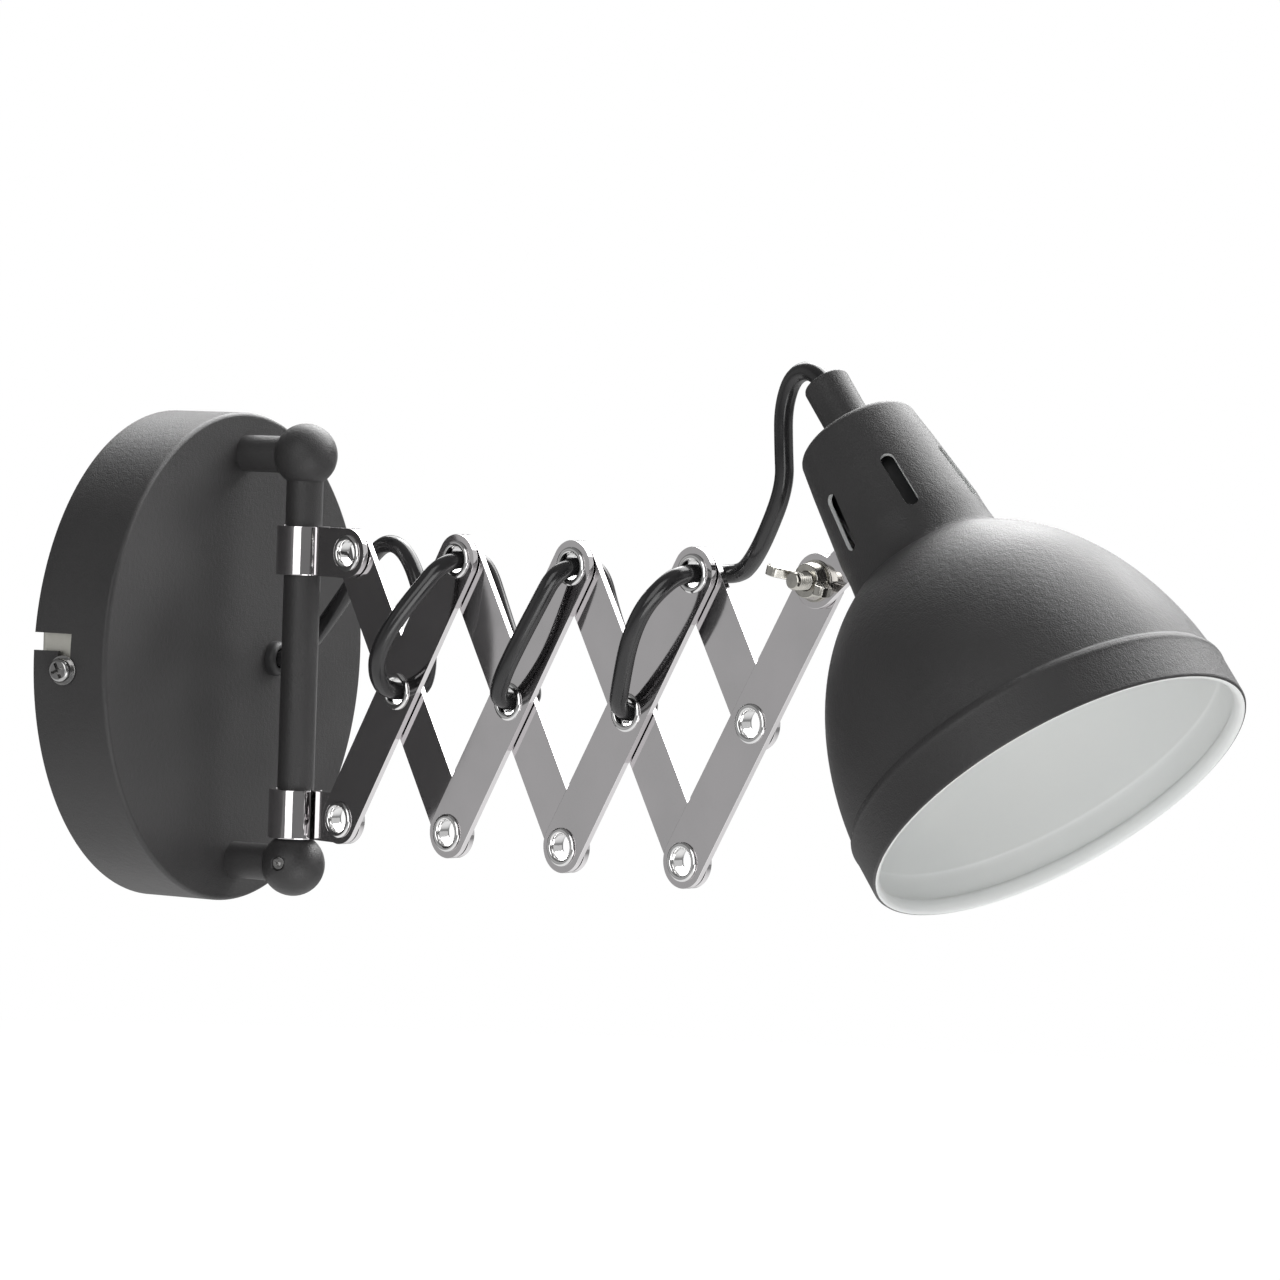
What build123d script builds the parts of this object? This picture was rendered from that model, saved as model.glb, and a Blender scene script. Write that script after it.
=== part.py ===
from build123d import *
import math
import os

# Wall spotlight on a swivelling scissor arm, in millimetres and degrees.
# The wall is the plane Y = 0, the lamp stands out towards -Y and +Z is up.
# The origin lies on the wall, behind the middle of the canopy.

# Pose
SWING = 18.5  # arm away from the wall's normal, towards -X
STRIP_ANGLE = 59.0  # strips above the horizontal
LAMP_TILT = 39.5  # lamp axis away from straight down

# Clearances
RUNNING = 0.05  # radial, at a pivot
SLIDING = 0.10  # radial, collar on rod
ASSEMBLY = 0.05  # radial, between pieces that are screwed or pushed together
LAYER_GAP = 0.3  # between the front and back strips
FACE_GAP = 0.2  # between other flat faces that turn on each other
REST_GAP = 0.3  # between curved pieces that rest on each other

# Canopy and wall bracket
CANOPY_R = 60.0
CANOPY_DEPTH = 20.0
CANOPY_WALL = 1.0
CANOPY_EDGE_R = 2.0
BRACKET_W = 20.0
BRACKET_T = 1.5
BRACKET_BEND_R = 2.5
TAB_W = 16.0
TAB_DEPTH = 13.0
WALL_SLOT_SPACING = 74.0
WALL_SLOT_W = 5.0
WALL_SLOT_LENGTH = 14.0
CABLE_HOLE_R = 5.0
EARTH_SCREW_X = 25.0
LOCK_SCREW_DEPTH = 8.5  # screw axis in front of the wall
LOCK_SCREW_DROP = 2.3  # screw axis below the middle, on the -X side
NOTCH_ENTRY_W = 4.2
NOTCH_ENTRY_RISE = 4.2  # middle of the entry above the middle of the canopy
NOTCH_PLAY = 0.2
NOTCH_CORNER_R = 0.7

# Screws: shank radius, head radius, head height
LOCK_SCREW = (1.5, 2.9, 2.0)
POST_SCREW = (2.0, 3.8, 2.6)
EARTH_SCREW = (2.0, 3.8, 2.6)
LOCK_SCREW_LENGTH = 7.0
POST_SCREW_REACH = 9.0  # thread inside the post
PAN_ROUNDING = 0.45  # of a screw head's height
LOCK_WASHER_R = 3.5
POST_WASHER_R = 4.5
WASHER_T = 0.6
WASHER_PLAY = 0.2

# Terminal block
BLOCK_LENGTH = 18.0
BLOCK_T = 10.0
BLOCK_EDGE_R = 1.0
BLOCK_FROM_CABLE = 9.0  # near end of the block from the cable's axis
WAY_PITCH = 7.0
WAY_COUNT = 3
WAY_BORE_R = 1.6
TOWER_R = 2.8
TOWER_H = 2.5
TERMINAL_SCREW_R = 1.9
TERMINAL_SCREW_SINK = 0.5

# Posts, balls and rod
POST_R = 4.5
POST_RISE = 50.0
ROD_R = 4.5
ROD_REACH = 37.0  # rod axis in front of the wall
BALL_R = 7.75
POST_SEAT = 1.5  # post inside the ball
ROD_SEAT = 2.2  # rod inside the ball
GRUB_R = 1.5
GRUB_LENGTH = 3.0
GRUB_SINK = 0.5
GRUB_RISE = 0.8
GRUB_HEX = 1.5

# Cable and its bush
CABLE_R = 2.1
CABLE_PLAY = 0.2
BUSH_X = 16.0
BUSH_Z = -0.8
BUSH_R = 4.4
BUSH_PROUD = 2.4
BUSH_EDGE_R = 1.1
BUSH_NECK_R = 3.5
BUSH_NECK_LENGTH = 3.2
BUSH_NUT_AF = 10.0
BUSH_NUT_T = 3.0

# Collars
COLLAR_H = 12.0
COLLAR_WALL = 1.9
COLLAR_SLIT = 0.8
COLLAR_BEND_R = 0.9
EAR_REACH = 18.0  # pivot from the rod's axis

# Scissor strips
STRIP_W = 12.0
STRIP_T = 1.5
HALF_STRIP = 37.5  # pivot to pivot

# Hollow rivets
BARREL_R = 3.3
RIVET_BORE_R = 2.85
FLANGE_R = 4.4
FLANGE_T = 0.65
FLANGE_EDGE_R = 0.45
FLANGE_PLAY = 0.1

# Head joint
BOLT_R = 2.0
BOLT_HEAD_R = 4.0
BOLT_HEAD_T = 2.6
BOLT_TIP = 10.8  # in front of the arm's middle plane
BOLT_CHAMFER = 0.5
TILT_WASHER_R = 4.6
TILT_WASHER_T = 0.5
HUB_BASE_R = 4.3
HUB_TOP_R = 3.7
HUB_H = 2.7
WING_SPAN_R = 9.6
WING_RISE = 6.6
WING_T = 2.2
WING_TIP_R = 1.5
WING_TIP_W = 3.4
WING_LEAN = 1.2  # tips beyond the wings' knees
WING_KNEE = 3.0  # knees above the hub's base
WING_ROOT = 0.2  # wings' lower edge above the hub's base
WING_CROTCH_R = 3.0
WING_TURN = 165.0  # first wing, up from the arm's outward direction

# Lamp head, radii about the lamp axis, stations measured up from its mouth
HINGE_RISE = 18.1  # tilt axis above the top of the dome
HINGE_OFFSET = 27.3  # tilt axis from the lamp axis
LUG_T = 1.5
LUG_END_R = 6.0
LUG_NECK_W = 8.0
LUG_FILLET_R = 7.0
LUG_TONGUE = 1.6  # inside the neck's wall
RIM_R = 43.0
BAND_H = 10.5
SHADE_WALL = 1.0
HEM_H = 4.0
HEM_T = 0.8
HEM_EDGE_R = 0.85
SHOULDER_R = 0.6
SHOULDER_STEP = 0.5
DOME_RISE = 59.0
DOME_CENTRE = 5.0
DOME_SHARE = 0.9034  # of its rise, up to its flat top
NECK_BASE_R = 18.0
NECK_WAIST_R = 16.4
NECK_WAIST_H = 10.5
NECK_TOP_R = 13.4
NECK_H = 36.3
NECK_WALL = 1.0
NECK_EDGE_R = 2.0
VENT_COUNT = 6
VENT_W = 3.0
VENT_LENGTH = 14.0
VENT_RISE = 15.4  # middle of the vents above the top of the dome
VENT_TURN = 12.6  # first vent, from the front side towards the hinge
GRIP_R = 5.1
GRIP_H = 14.6
GRIP_EDGE_R = 0.6
NIPPLE_R = 4.0
NIPPLE_BORE_R = 2.7
NIPPLE_IN_GRIP = 6.0
NIPPLE_IN_HOLDER = 8.0
HOLDER_R = 11.5
HOLDER_EDGE_R = 2.0
HOLDER_FLANGE_R = 15.8
HOLDER_FLANGE_T = 2.0
HOLDER_SKIRT_R = 13.5
SHADE_HOLE_PLAY = 0.3
HOLDER_HANG = 14.3  # socket's mouth below the top of the dome
HOLDER_MOUTH_R = 8.6
HOLDER_MOUTH_DEPTH = 3.5
SOCKET_R = 7.0
SHELL_T = 0.5
SHELL_LENGTH = 18.0
SOCKET_DEPTH = 27.0
RING_R = 17.5
RING_H = 6.0
RING_NOTCHES = 12
RING_NOTCH_R = 0.9
CONTACT_W = 4.0
CONTACT_T = 0.6
CONTACT_RISE = 4.0
CONTACT_LENGTH = 9.0
CABLE_IN_GRIP = 3.5

# Cable parting and bends
CABLE_CUT = 1.0  # cable parted inside the bush, in front of the canopy
CABLE_JOIN = -1.5  # cable parted inside a rivet, off the arm's middle plane
INSIDE_STEP = (6.0, 3.8)  # between the two bends inside the canopy: across, and off the wall
FEED_STRAIGHT = 6.5  # from the cut in the bush to the first bend
FEED_BEHIND_PIVOT = -6.0
TAIL_BEHIND_PIVOT = -6.6
TAIL_OVER_GRIP = 3.7  # last bend above the grip, on its axis

# Cable bends: out along the arm, up and to the front, each from its own place
FEED_BEHIND_ROD = (1.5, -11.4, -12.3)  # the rod's axis beside the upper pivot
FEED_BEHIND_COLLAR = ((-7.0, -1.3, -11.8), (1.5, 3.6, -10.8), (10.3, -0.4, -9.8))  # the upper pivot
FEED_TO_PIVOT = ((-2.3, 19.3, -9.2), (-0.8, 10.3, -9.0), (-0.2, 3.7, -8.4))  # the first middle pivot
TAIL_LOW = ((3.5, 0.1, -9.2), (8.1, 1.8, -8.0), (15.9, 8.4, -4.6))  # the last top pivot
# The mouth of the cord grip
TAIL_HIGH = ((-15.4, -22.6, -5.0), (-14.5, -14.1, -3.1), (-14.0, -5.1, -2.0), (-10.1, 2.1, -1.0))

# Loops beside a strip: share of the half strip, distance across it and off the arm's middle plane
FRONT_LOOPS = (
    ((0, 0, 4.8), (0.12, 0, 10.0), (0.27, 0.3, 12.6), (0.48, 0.5, 12.2), (0.75, 0.3, 8.9), (1, 0, 5.0)),
    ((0, 0, 4.9), (0.15, 0, 7.1), (0.37, -0.5, 7.8), (0.69, -0.4, 6.9), (1, 0, 5.5)),
    ((0, 0, 4.6), (0.23, 0, 7.9), (0.51, 0.5, 10.9), (0.75, 0.5, 11.4), (0.92, 0, 8.8), (1, 0, 5.2)),
)
BACK_LINKS = (
    ((0, 0, -5.8), (0.08, -0.4, -8.2), (0.27, -1.6, -9.0), (0.53, -2.3, -9.1), (0.77, -1.6, -8.7),
     (0.92, -0.4, -8.2), (1, 0, -5.8)),
    ((0, 0, -5.6), (0.08, -0.5, -7.9), (0.24, -2.0, -8.4), (0.48, -2.8, -8.5), (0.75, -2.1, -8.3),
     (0.92, -0.6, -7.9), (1, 0, -5.6)),
)
ARC_SHARE = 0.45  # of the shorter run taken by each bend

UP = Vector(0, 0, 1)
OUT = Vector(-math.sin(math.radians(SWING)), -math.cos(math.radians(SWING)), 0)
SIDE = Vector(-math.cos(math.radians(SWING)), math.sin(math.radians(SWING)), 0)
WALL_OUT = Vector(0, -1, 0)
ROD_FOOT = Vector(0, -ROD_REACH, 0)

FRONT_LAYER = LAYER_GAP / 2
BACK_LAYER = -LAYER_GAP / 2 - STRIP_T
STACK = LAYER_GAP / 2 + STRIP_T
COLLAR_BORE_R = ROD_R + SLIDING
COLLAR_R = COLLAR_BORE_R + COLLAR_WALL
BALL_SEAT = math.sqrt(BALL_R**2 - COLLAR_BORE_R**2)
LOWER_COLLAR_Z = -POST_RISE + BALL_SEAT + REST_GAP + COLLAR_H / 2
STEP_OUT = HALF_STRIP * math.cos(math.radians(STRIP_ANGLE))
STEP_UP = HALF_STRIP * math.sin(math.radians(STRIP_ANGLE))
LOCK_LANE_W = 2 * (LOCK_SCREW[0] + NOTCH_PLAY)
TAB_OUTER_X = math.sqrt((CANOPY_R - CANOPY_WALL) ** 2 - (BRACKET_W / 2) ** 2) - REST_GAP
CABLE_BORE_R = CABLE_R + CABLE_PLAY
CABLE_CUT_DEPTH = CANOPY_DEPTH + CABLE_CUT
DOME_R = RIM_R - SHOULDER_STEP
DOME_TOP = DOME_CENTRE + DOME_SHARE * DOME_RISE
NECK_TOP = DOME_TOP + NECK_H
GRIP_TOP = NECK_TOP + GRIP_H
HINGE_STATION = DOME_TOP + HINGE_RISE
VENT_STATION = DOME_TOP + VENT_RISE
HOLDER_MOUTH = DOME_TOP - HOLDER_HANG


def grid_point(column, row):
    """Pivot of the scissor arm: columns count outwards, rows are -1, 0 and 1."""
    return EAR_REACH + column * STEP_OUT, LOWER_COLLAR_Z + (row + 1) * STEP_UP


def arm_point(along, height, side=0.0):
    """Point from its distance along the arm, its height and its offset to the front side."""
    return ROD_FOOT + OUT * along + UP * height + SIDE * side


def arm_plane(pivot, side, turn=0.0):
    """Plane parallel to the strips at a pivot, its X turned up from the arm's direction."""
    direction = OUT * math.cos(math.radians(turn)) + UP * math.sin(math.radians(turn))
    return Plane(origin=arm_point(*pivot, side), x_dir=direction, z_dir=SIDE)


def pivot_section(pivot, turn=0.0):
    """Plane through a pivot's axis: X away from the axis, Y towards the front side."""
    direction = OUT * math.cos(math.radians(turn)) + UP * math.sin(math.radians(turn))
    return Plane(origin=arm_point(*pivot), x_dir=direction, z_dir=direction.cross(SIDE))


def pivot_axis(pivot):
    """Axis of a pivot, towards the front side."""
    return Axis(arm_point(*pivot), SIDE)


LOWER_PIVOT = grid_point(0, -1)
UPPER_PIVOT = grid_point(0, 1)
TILT_PIVOT = grid_point(8, 1)

# The lamp head's frame hangs from its tilt pivot
LUG_SIDE = STACK + FACE_GAP
LAMP_SIDE = LUG_SIDE + LUG_T / 2
TILT = math.radians(LAMP_TILT)
LAMP_OUT = OUT * math.sin(TILT) - UP * math.cos(TILT)
TO_HINGE = LAMP_OUT.cross(SIDE)
MOUTH = arm_point(*TILT_PIVOT, LAMP_SIDE) - TO_HINGE * HINGE_OFFSET + LAMP_OUT * HINGE_STATION
LAMP_AXIS = Axis(MOUTH, LAMP_OUT * -1)
LAMP_SECTION = Plane(origin=MOUTH, x_dir=TO_HINGE, z_dir=SIDE * -1)


def lamp_point(station, towards_hinge=0.0, side=0.0):
    """Point of the lamp head, from its mouth up its axis."""
    return MOUTH - LAMP_OUT * station + TO_HINGE * towards_hinge + SIDE * side


def lamp_plane(station):
    """Plane square to the lamp axis, facing up the head."""
    return Plane(origin=lamp_point(station), x_dir=TO_HINGE, z_dir=LAMP_OUT * -1)


def save(piece, name):
    """Label a finished piece and write it under its node's name."""
    piece.part.label = name
    export_step(piece.part, f"parts/{name}.step")


def pan_screw(size, length, plane):
    """Pan head screw: the head stands on the plane, the shank goes down through it."""
    shank_r, head_r, head_h = size
    with BuildPart() as screw:
        with BuildSketch(plane):
            Circle(head_r)
        extrude(amount=head_h)
        fillet(screw.faces().sort_by(Axis(plane.origin, plane.z_dir))[-1].edges(), head_h * PAN_ROUNDING)
        with BuildSketch(plane):
            Circle(shank_r)
        extrude(amount=-length)
    return screw


def ring(plane, outer_r, inner_r, thickness):
    """Flat washer on a plane."""
    with BuildPart() as washer:
        with BuildSketch(plane):
            Circle(outer_r)
            Circle(inner_r, mode=Mode.SUBTRACT)
        extrude(amount=thickness)
    return washer


def group(*pieces):
    """Like pieces of one node, kept as separate solids."""
    with BuildPart() as node:
        add([piece.part for piece in pieces])
    return node


def bend_radius(before, corner, after):
    """Largest arc that leaves part of the shorter run straight at a corner of the cable."""
    turn = (corner - before).get_angle(after - corner)
    shorter = min((corner - before).length, (after - corner).length)
    return ARC_SHARE * shorter / math.tan(math.radians(turn / 2))


def cable(name, points):
    """Round cable along straight runs joined by tangent arcs."""
    corners = list(zip(points, points[1:], points[2:]))
    radii = [bend_radius(*corner) for corner in corners]
    with BuildPart() as tube:
        with BuildLine() as route:
            FilletPolyline(*points, radius=radii)
        with BuildSketch(Plane(origin=points[0], z_dir=points[1] - points[0])):
            Circle(CABLE_R)
        sweep()
    length = sum(edge.length for edge in route.edges())
    share = tube.part.volume / (math.pi * CABLE_R**2 * length)
    print(name, "length", round(length, 1), "volume share", round(share, 4),
          "radii", [round(radius, 1) for radius in radii])
    save(tube, name)


os.makedirs("parts", exist_ok=True)

# Canopy: a sheet cup with its rounded face to the room and two bayonet notches
canopy_front = Plane.XZ.offset(CANOPY_DEPTH)
with BuildPart() as canopy:
    with BuildSketch(Plane.XZ):
        Circle(CANOPY_R)
    extrude(amount=CANOPY_DEPTH)
    fillet(canopy.faces().sort_by(Axis.Y)[0].edges(), CANOPY_EDGE_R)
    offset(amount=-CANOPY_WALL, openings=canopy.faces().sort_by(Axis.Y)[-1])
    with BuildSketch(canopy_front):
        with Locations((0, POST_RISE), (0, -POST_RISE)):
            Circle(POST_SCREW[0] + ASSEMBLY)
        with Locations((BUSH_X, BUSH_Z)):
            Circle(BUSH_NECK_R + ASSEMBLY)
    extrude(amount=-2 * CANOPY_WALL, mode=Mode.SUBTRACT)
    notch_depth = LOCK_SCREW_DEPTH + LOCK_LANE_W / 2
    lane_top = NOTCH_ENTRY_RISE + NOTCH_ENTRY_W / 2
    lane_bottom = -LOCK_SCREW_DROP - LOCK_LANE_W / 2
    for end in (-1, 1):
        with BuildSketch(Plane.YZ.offset(end * (CANOPY_R + 1))) as notch:
            with Locations((-notch_depth / 2, -end * NOTCH_ENTRY_RISE)):
                Rectangle(notch_depth, NOTCH_ENTRY_W)
            with Locations((-LOCK_SCREW_DEPTH, -end * (lane_top + lane_bottom) / 2)):
                Rectangle(LOCK_LANE_W, lane_top - lane_bottom)
            fillet(notch.vertices().group_by(Axis.Y)[0], NOTCH_CORNER_R)
        extrude(amount=-end * (CANOPY_R - TAB_OUTER_X + 1), mode=Mode.SUBTRACT)
save(canopy, "canopy")

# Wall bracket: a strap with bent ends that carry the locking screws
with BuildPart() as wall_bracket:
    with BuildSketch(Plane.XY):
        with BuildLine():
            FilletPolyline(
                (-TAB_OUTER_X, -TAB_DEPTH),
                (-TAB_OUTER_X, 0),
                (TAB_OUTER_X, 0),
                (TAB_OUTER_X, -TAB_DEPTH),
                radius=BRACKET_BEND_R,
            )
            offset(amount=BRACKET_T, side=Side.RIGHT)
        make_face()
    extrude(amount=BRACKET_W / 2, both=True)
    with BuildSketch(Plane.XZ.offset(BRACKET_BEND_R)):
        with GridLocations(2 * TAB_OUTER_X, (TAB_W + BRACKET_W) / 2, 2, 2):
            Rectangle(4 * BRACKET_T, (BRACKET_W - TAB_W) / 2)
    extrude(amount=TAB_DEPTH, mode=Mode.SUBTRACT)
    with BuildSketch(Plane.XZ):
        with Locations((-WALL_SLOT_SPACING / 2, 0), (WALL_SLOT_SPACING / 2, 0)):
            SlotOverall(WALL_SLOT_LENGTH, WALL_SLOT_W)
        Circle(CABLE_HOLE_R)
        with Locations((EARTH_SCREW_X, 0)):
            Circle(EARTH_SCREW[0] + ASSEMBLY)
    extrude(amount=BRACKET_T, mode=Mode.SUBTRACT)
    for end in (-1, 1):
        with BuildSketch(Plane.YZ.offset(end * (TAB_OUTER_X + 1))):
            with Locations((-LOCK_SCREW_DEPTH, end * LOCK_SCREW_DROP)):
                Circle(LOCK_SCREW[0] + ASSEMBLY)
        extrude(amount=-end * 2 * (BRACKET_T + 1), mode=Mode.SUBTRACT)
save(wall_bracket, "wall_bracket")


def lock_plane(end):
    """Seat of a locking screw's washer on the canopy's side, facing outwards."""
    seat = Vector(end * CANOPY_R, -LOCK_SCREW_DEPTH, end * LOCK_SCREW_DROP)
    return Plane(origin=seat, x_dir=(0, 1, 0), z_dir=(end, 0, 0))


def post_plane(end, station):
    """Plane on a post's axis, facing the wall."""
    return Plane(origin=(0, -station, end * POST_RISE), x_dir=(1, 0, 0), z_dir=(0, 1, 0))


ends = (-1, 1)
lock_washers = [
    ring(lock_plane(end), LOCK_WASHER_R, LOCK_SCREW[0] + WASHER_PLAY, WASHER_T) for end in ends
]
lock_screws = [
    pan_screw(LOCK_SCREW, LOCK_SCREW_LENGTH, lock_plane(end).offset(WASHER_T)) for end in ends
]
save(group(*lock_washers), "lock_washers")
save(group(*lock_screws), "lock_screws")

# Screws and washers that hold the posts, from inside the canopy
inner_face = CANOPY_DEPTH - CANOPY_WALL
post_washers = [
    ring(post_plane(end, inner_face), POST_WASHER_R, POST_SCREW[0] + WASHER_PLAY, WASHER_T)
    for end in ends
]
post_screw_length = WASHER_T + CANOPY_WALL + POST_SCREW_REACH
post_screws = [
    pan_screw(POST_SCREW, post_screw_length, post_plane(end, inner_face - WASHER_T)) for end in ends
]
save(group(*post_washers), "post_washers")
save(group(*post_screws), "post_screws")

# Posts with a tapped hole towards the wall
post_tip = ROD_REACH - math.sqrt(BALL_R**2 - POST_R**2) + POST_SEAT


def post(end):
    """Stand-off between the canopy and a ball."""
    with BuildPart() as piece:
        with BuildSketch(post_plane(end, post_tip)):
            Circle(POST_R)
        extrude(amount=post_tip - CANOPY_DEPTH)
        with BuildSketch(post_plane(end, CANOPY_DEPTH)):
            Circle(POST_SCREW[0] + ASSEMBLY)
        extrude(amount=-(POST_SCREW_REACH + 1), mode=Mode.SUBTRACT)
    return piece


save(group(*[post(end) for end in ends]), "posts")


def ball(end):
    """Ball with blind holes for its post and for the rod, the lower one tapped for a grub screw."""
    centre = Vector(0, -ROD_REACH, end * POST_RISE)
    with BuildPart() as piece:
        with BuildSketch(Plane(origin=centre, x_dir=(1, 0, 0), z_dir=(0, -1, 0))) as half_disc:
            Circle(BALL_R)
            with Locations((-BALL_R, 0)):
                Rectangle(2 * BALL_R, 2 * BALL_R, mode=Mode.SUBTRACT)
        revolve(axis=Axis(centre, (0, 0, 1)))
        with BuildSketch(post_plane(end, post_tip)):
            Circle(POST_R + ASSEMBLY)
        extrude(amount=BALL_R, mode=Mode.SUBTRACT)
        with BuildSketch(Plane.XY.offset(end * (POST_RISE - BALL_SEAT + ROD_SEAT))):
            with Locations((0, -ROD_REACH)):
                Circle(ROD_R + ASSEMBLY)
        extrude(amount=-end * BALL_R, mode=Mode.SUBTRACT)
        if end < 0:
            with BuildSketch(Plane.YZ):
                with Locations((-ROD_REACH, end * POST_RISE + GRUB_RISE)):
                    Circle(GRUB_R + ASSEMBLY)
            extrude(amount=-BALL_R, mode=Mode.SUBTRACT)
    return piece


save(group(*[ball(end) for end in ends]), "balls")

with BuildPart() as rod:
    with BuildSketch(Plane.XY.offset(-(POST_RISE - BALL_SEAT + ROD_SEAT))):
        with Locations((0, -ROD_REACH)):
            Circle(ROD_R)
    extrude(amount=2 * (POST_RISE - BALL_SEAT + ROD_SEAT))
save(rod, "rod")

with BuildPart() as grub_screw:
    with BuildSketch(Plane.YZ.offset(-(BALL_R - GRUB_SINK))):
        with Locations((-ROD_REACH, -POST_RISE + GRUB_RISE)):
            Circle(GRUB_R)
    extrude(amount=GRUB_LENGTH)
    with BuildSketch(Plane.YZ.offset(-(BALL_R - GRUB_SINK))):
        with Locations((-ROD_REACH, -POST_RISE + GRUB_RISE)):
            RegularPolygon(GRUB_HEX / 2, 6, major_radius=False)
    extrude(amount=GRUB_LENGTH / 2, mode=Mode.SUBTRACT)
save(grub_screw, "grub_screw")

# Cable bush through the canopy, with its nut behind the sheet
with BuildPart() as cable_bush:
    with BuildSketch(Plane.XZ.offset(CANOPY_DEPTH)):
        with Locations((BUSH_X, BUSH_Z)):
            Circle(BUSH_R)
    extrude(amount=BUSH_PROUD)
    fillet(cable_bush.faces().sort_by(Axis.Y)[0].edges(), BUSH_EDGE_R)
    with BuildSketch(Plane.XZ.offset(CANOPY_DEPTH)):
        with Locations((BUSH_X, BUSH_Z)):
            Circle(BUSH_NECK_R)
    extrude(amount=-(CANOPY_WALL + BUSH_NECK_LENGTH))
    with BuildSketch(Plane.XZ):
        with Locations((BUSH_X, BUSH_Z)):
            Circle(CABLE_BORE_R)
    extrude(amount=CANOPY_DEPTH + BUSH_PROUD, mode=Mode.SUBTRACT)
save(cable_bush, "cable_bush")

with BuildPart() as bush_nut:
    with BuildSketch(Plane.XZ.offset(CANOPY_DEPTH - CANOPY_WALL)):
        with Locations((BUSH_X, BUSH_Z)):
            RegularPolygon(BUSH_NUT_AF / 2, 6, major_radius=False)
            Circle(BUSH_NECK_R + ASSEMBLY, mode=Mode.SUBTRACT)
    extrude(amount=-BUSH_NUT_T)
save(bush_nut, "bush_nut")

# Terminal block on the bracket, its ways along X and its screws towards the room
block_x = -BLOCK_FROM_CABLE - BLOCK_LENGTH / 2
block_face = BRACKET_T + BLOCK_T
way_rises = [WAY_PITCH * (way - (WAY_COUNT - 1) / 2) for way in range(WAY_COUNT)]
with BuildPart() as terminal_block:
    with BuildSketch(Plane.XZ.offset(BRACKET_T)) as block_outline:
        with Locations((block_x, 0)):
            Rectangle(BLOCK_LENGTH, WAY_COUNT * WAY_PITCH)
        fillet(block_outline.vertices(), BLOCK_EDGE_R)
    extrude(amount=BLOCK_T)
    with BuildSketch(Plane.XZ.offset(block_face)):
        with Locations([(block_x, rise) for rise in way_rises]):
            Circle(TOWER_R)
    extrude(amount=TOWER_H)
    with BuildSketch(Plane.YZ.offset(block_x - BLOCK_LENGTH / 2)):
        with Locations([(-BRACKET_T - BLOCK_T / 2, rise) for rise in way_rises]):
            Circle(WAY_BORE_R)
    extrude(amount=BLOCK_LENGTH, mode=Mode.SUBTRACT)
    with BuildSketch(Plane.XZ.offset(block_face + TOWER_H)):
        with Locations([(block_x, rise) for rise in way_rises]):
            Circle(TERMINAL_SCREW_R + ASSEMBLY)
    extrude(amount=-(TOWER_H + BLOCK_T / 2), mode=Mode.SUBTRACT)
save(terminal_block, "terminal_block")

with BuildPart() as terminal_screws:
    with BuildSketch(Plane.XZ.offset(block_face + TOWER_H - TERMINAL_SCREW_SINK)):
        with Locations([(block_x, rise) for rise in way_rises]):
            Circle(TERMINAL_SCREW_R)
    extrude(amount=-(TOWER_H + BLOCK_T / 4))
save(terminal_screws, "terminal_screws")

earth_plane = Plane(origin=(EARTH_SCREW_X, -BRACKET_T, 0), x_dir=(1, 0, 0), z_dir=WALL_OUT)
earth_screw = pan_screw(EARTH_SCREW, BRACKET_T, earth_plane)
save(earth_screw, "earth_screw")


def collar(pivot, layer):
    """Strap bent round the rod, with a slit beside the flat ear that carries the pivot."""
    height = pivot[1]
    plan = Plane(origin=arm_point(0, height), x_dir=OUT, z_dir=UP * -1)
    ear_middle = layer + STRIP_T / 2
    slit_side = -1 if layer > 0 else 1
    with BuildPart() as piece:
        with BuildSketch(plan) as band:
            Circle(COLLAR_R)
            with Locations((COLLAR_R, ear_middle)):
                Rectangle(COLLAR_R, STRIP_T)
            creases = band.vertices().sort_by(Axis.X)[:2]
            fillet(creases, COLLAR_BEND_R)
            Circle(COLLAR_BORE_R, mode=Mode.SUBTRACT)
            with Locations((COLLAR_R, ear_middle + slit_side * (STRIP_T + COLLAR_SLIT) / 2)):
                Rectangle(COLLAR_R, COLLAR_SLIT, mode=Mode.SUBTRACT)
        extrude(amount=COLLAR_H / 2, both=True)
        with BuildSketch(arm_plane(pivot, layer)):
            with Locations((-(EAR_REACH - COLLAR_R) / 2, 0)):
                Rectangle(EAR_REACH - COLLAR_R, COLLAR_H)
            Circle(COLLAR_H / 2)
        extrude(amount=STRIP_T)
        with BuildSketch(arm_plane(pivot, layer)):
            Circle(BARREL_R)
        extrude(amount=STRIP_T, mode=Mode.SUBTRACT)
    return piece


save(collar(LOWER_PIVOT, BACK_LAYER), "lower_collar")
save(collar(UPPER_PIVOT, FRONT_LAYER), "upper_collar")


def strip(start, turn, layer, fixed, running, half_strips=2):
    """Flat strip with rounded ends; its own rivets fit tight and the others run free."""
    with BuildPart() as piece:
        with BuildSketch(arm_plane(start, layer, turn)):
            with Locations((half_strips * HALF_STRIP / 2, 0)):
                SlotCenterToCenter(half_strips * HALF_STRIP, STRIP_W)
            with Locations([(place * HALF_STRIP, 0) for place in fixed]):
                Circle(BARREL_R, mode=Mode.SUBTRACT)
            with Locations([(place * HALF_STRIP, 0) for place in running]):
                Circle(BARREL_R + RUNNING, mode=Mode.SUBTRACT)
        extrude(amount=STRIP_T)
    return piece


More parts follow.
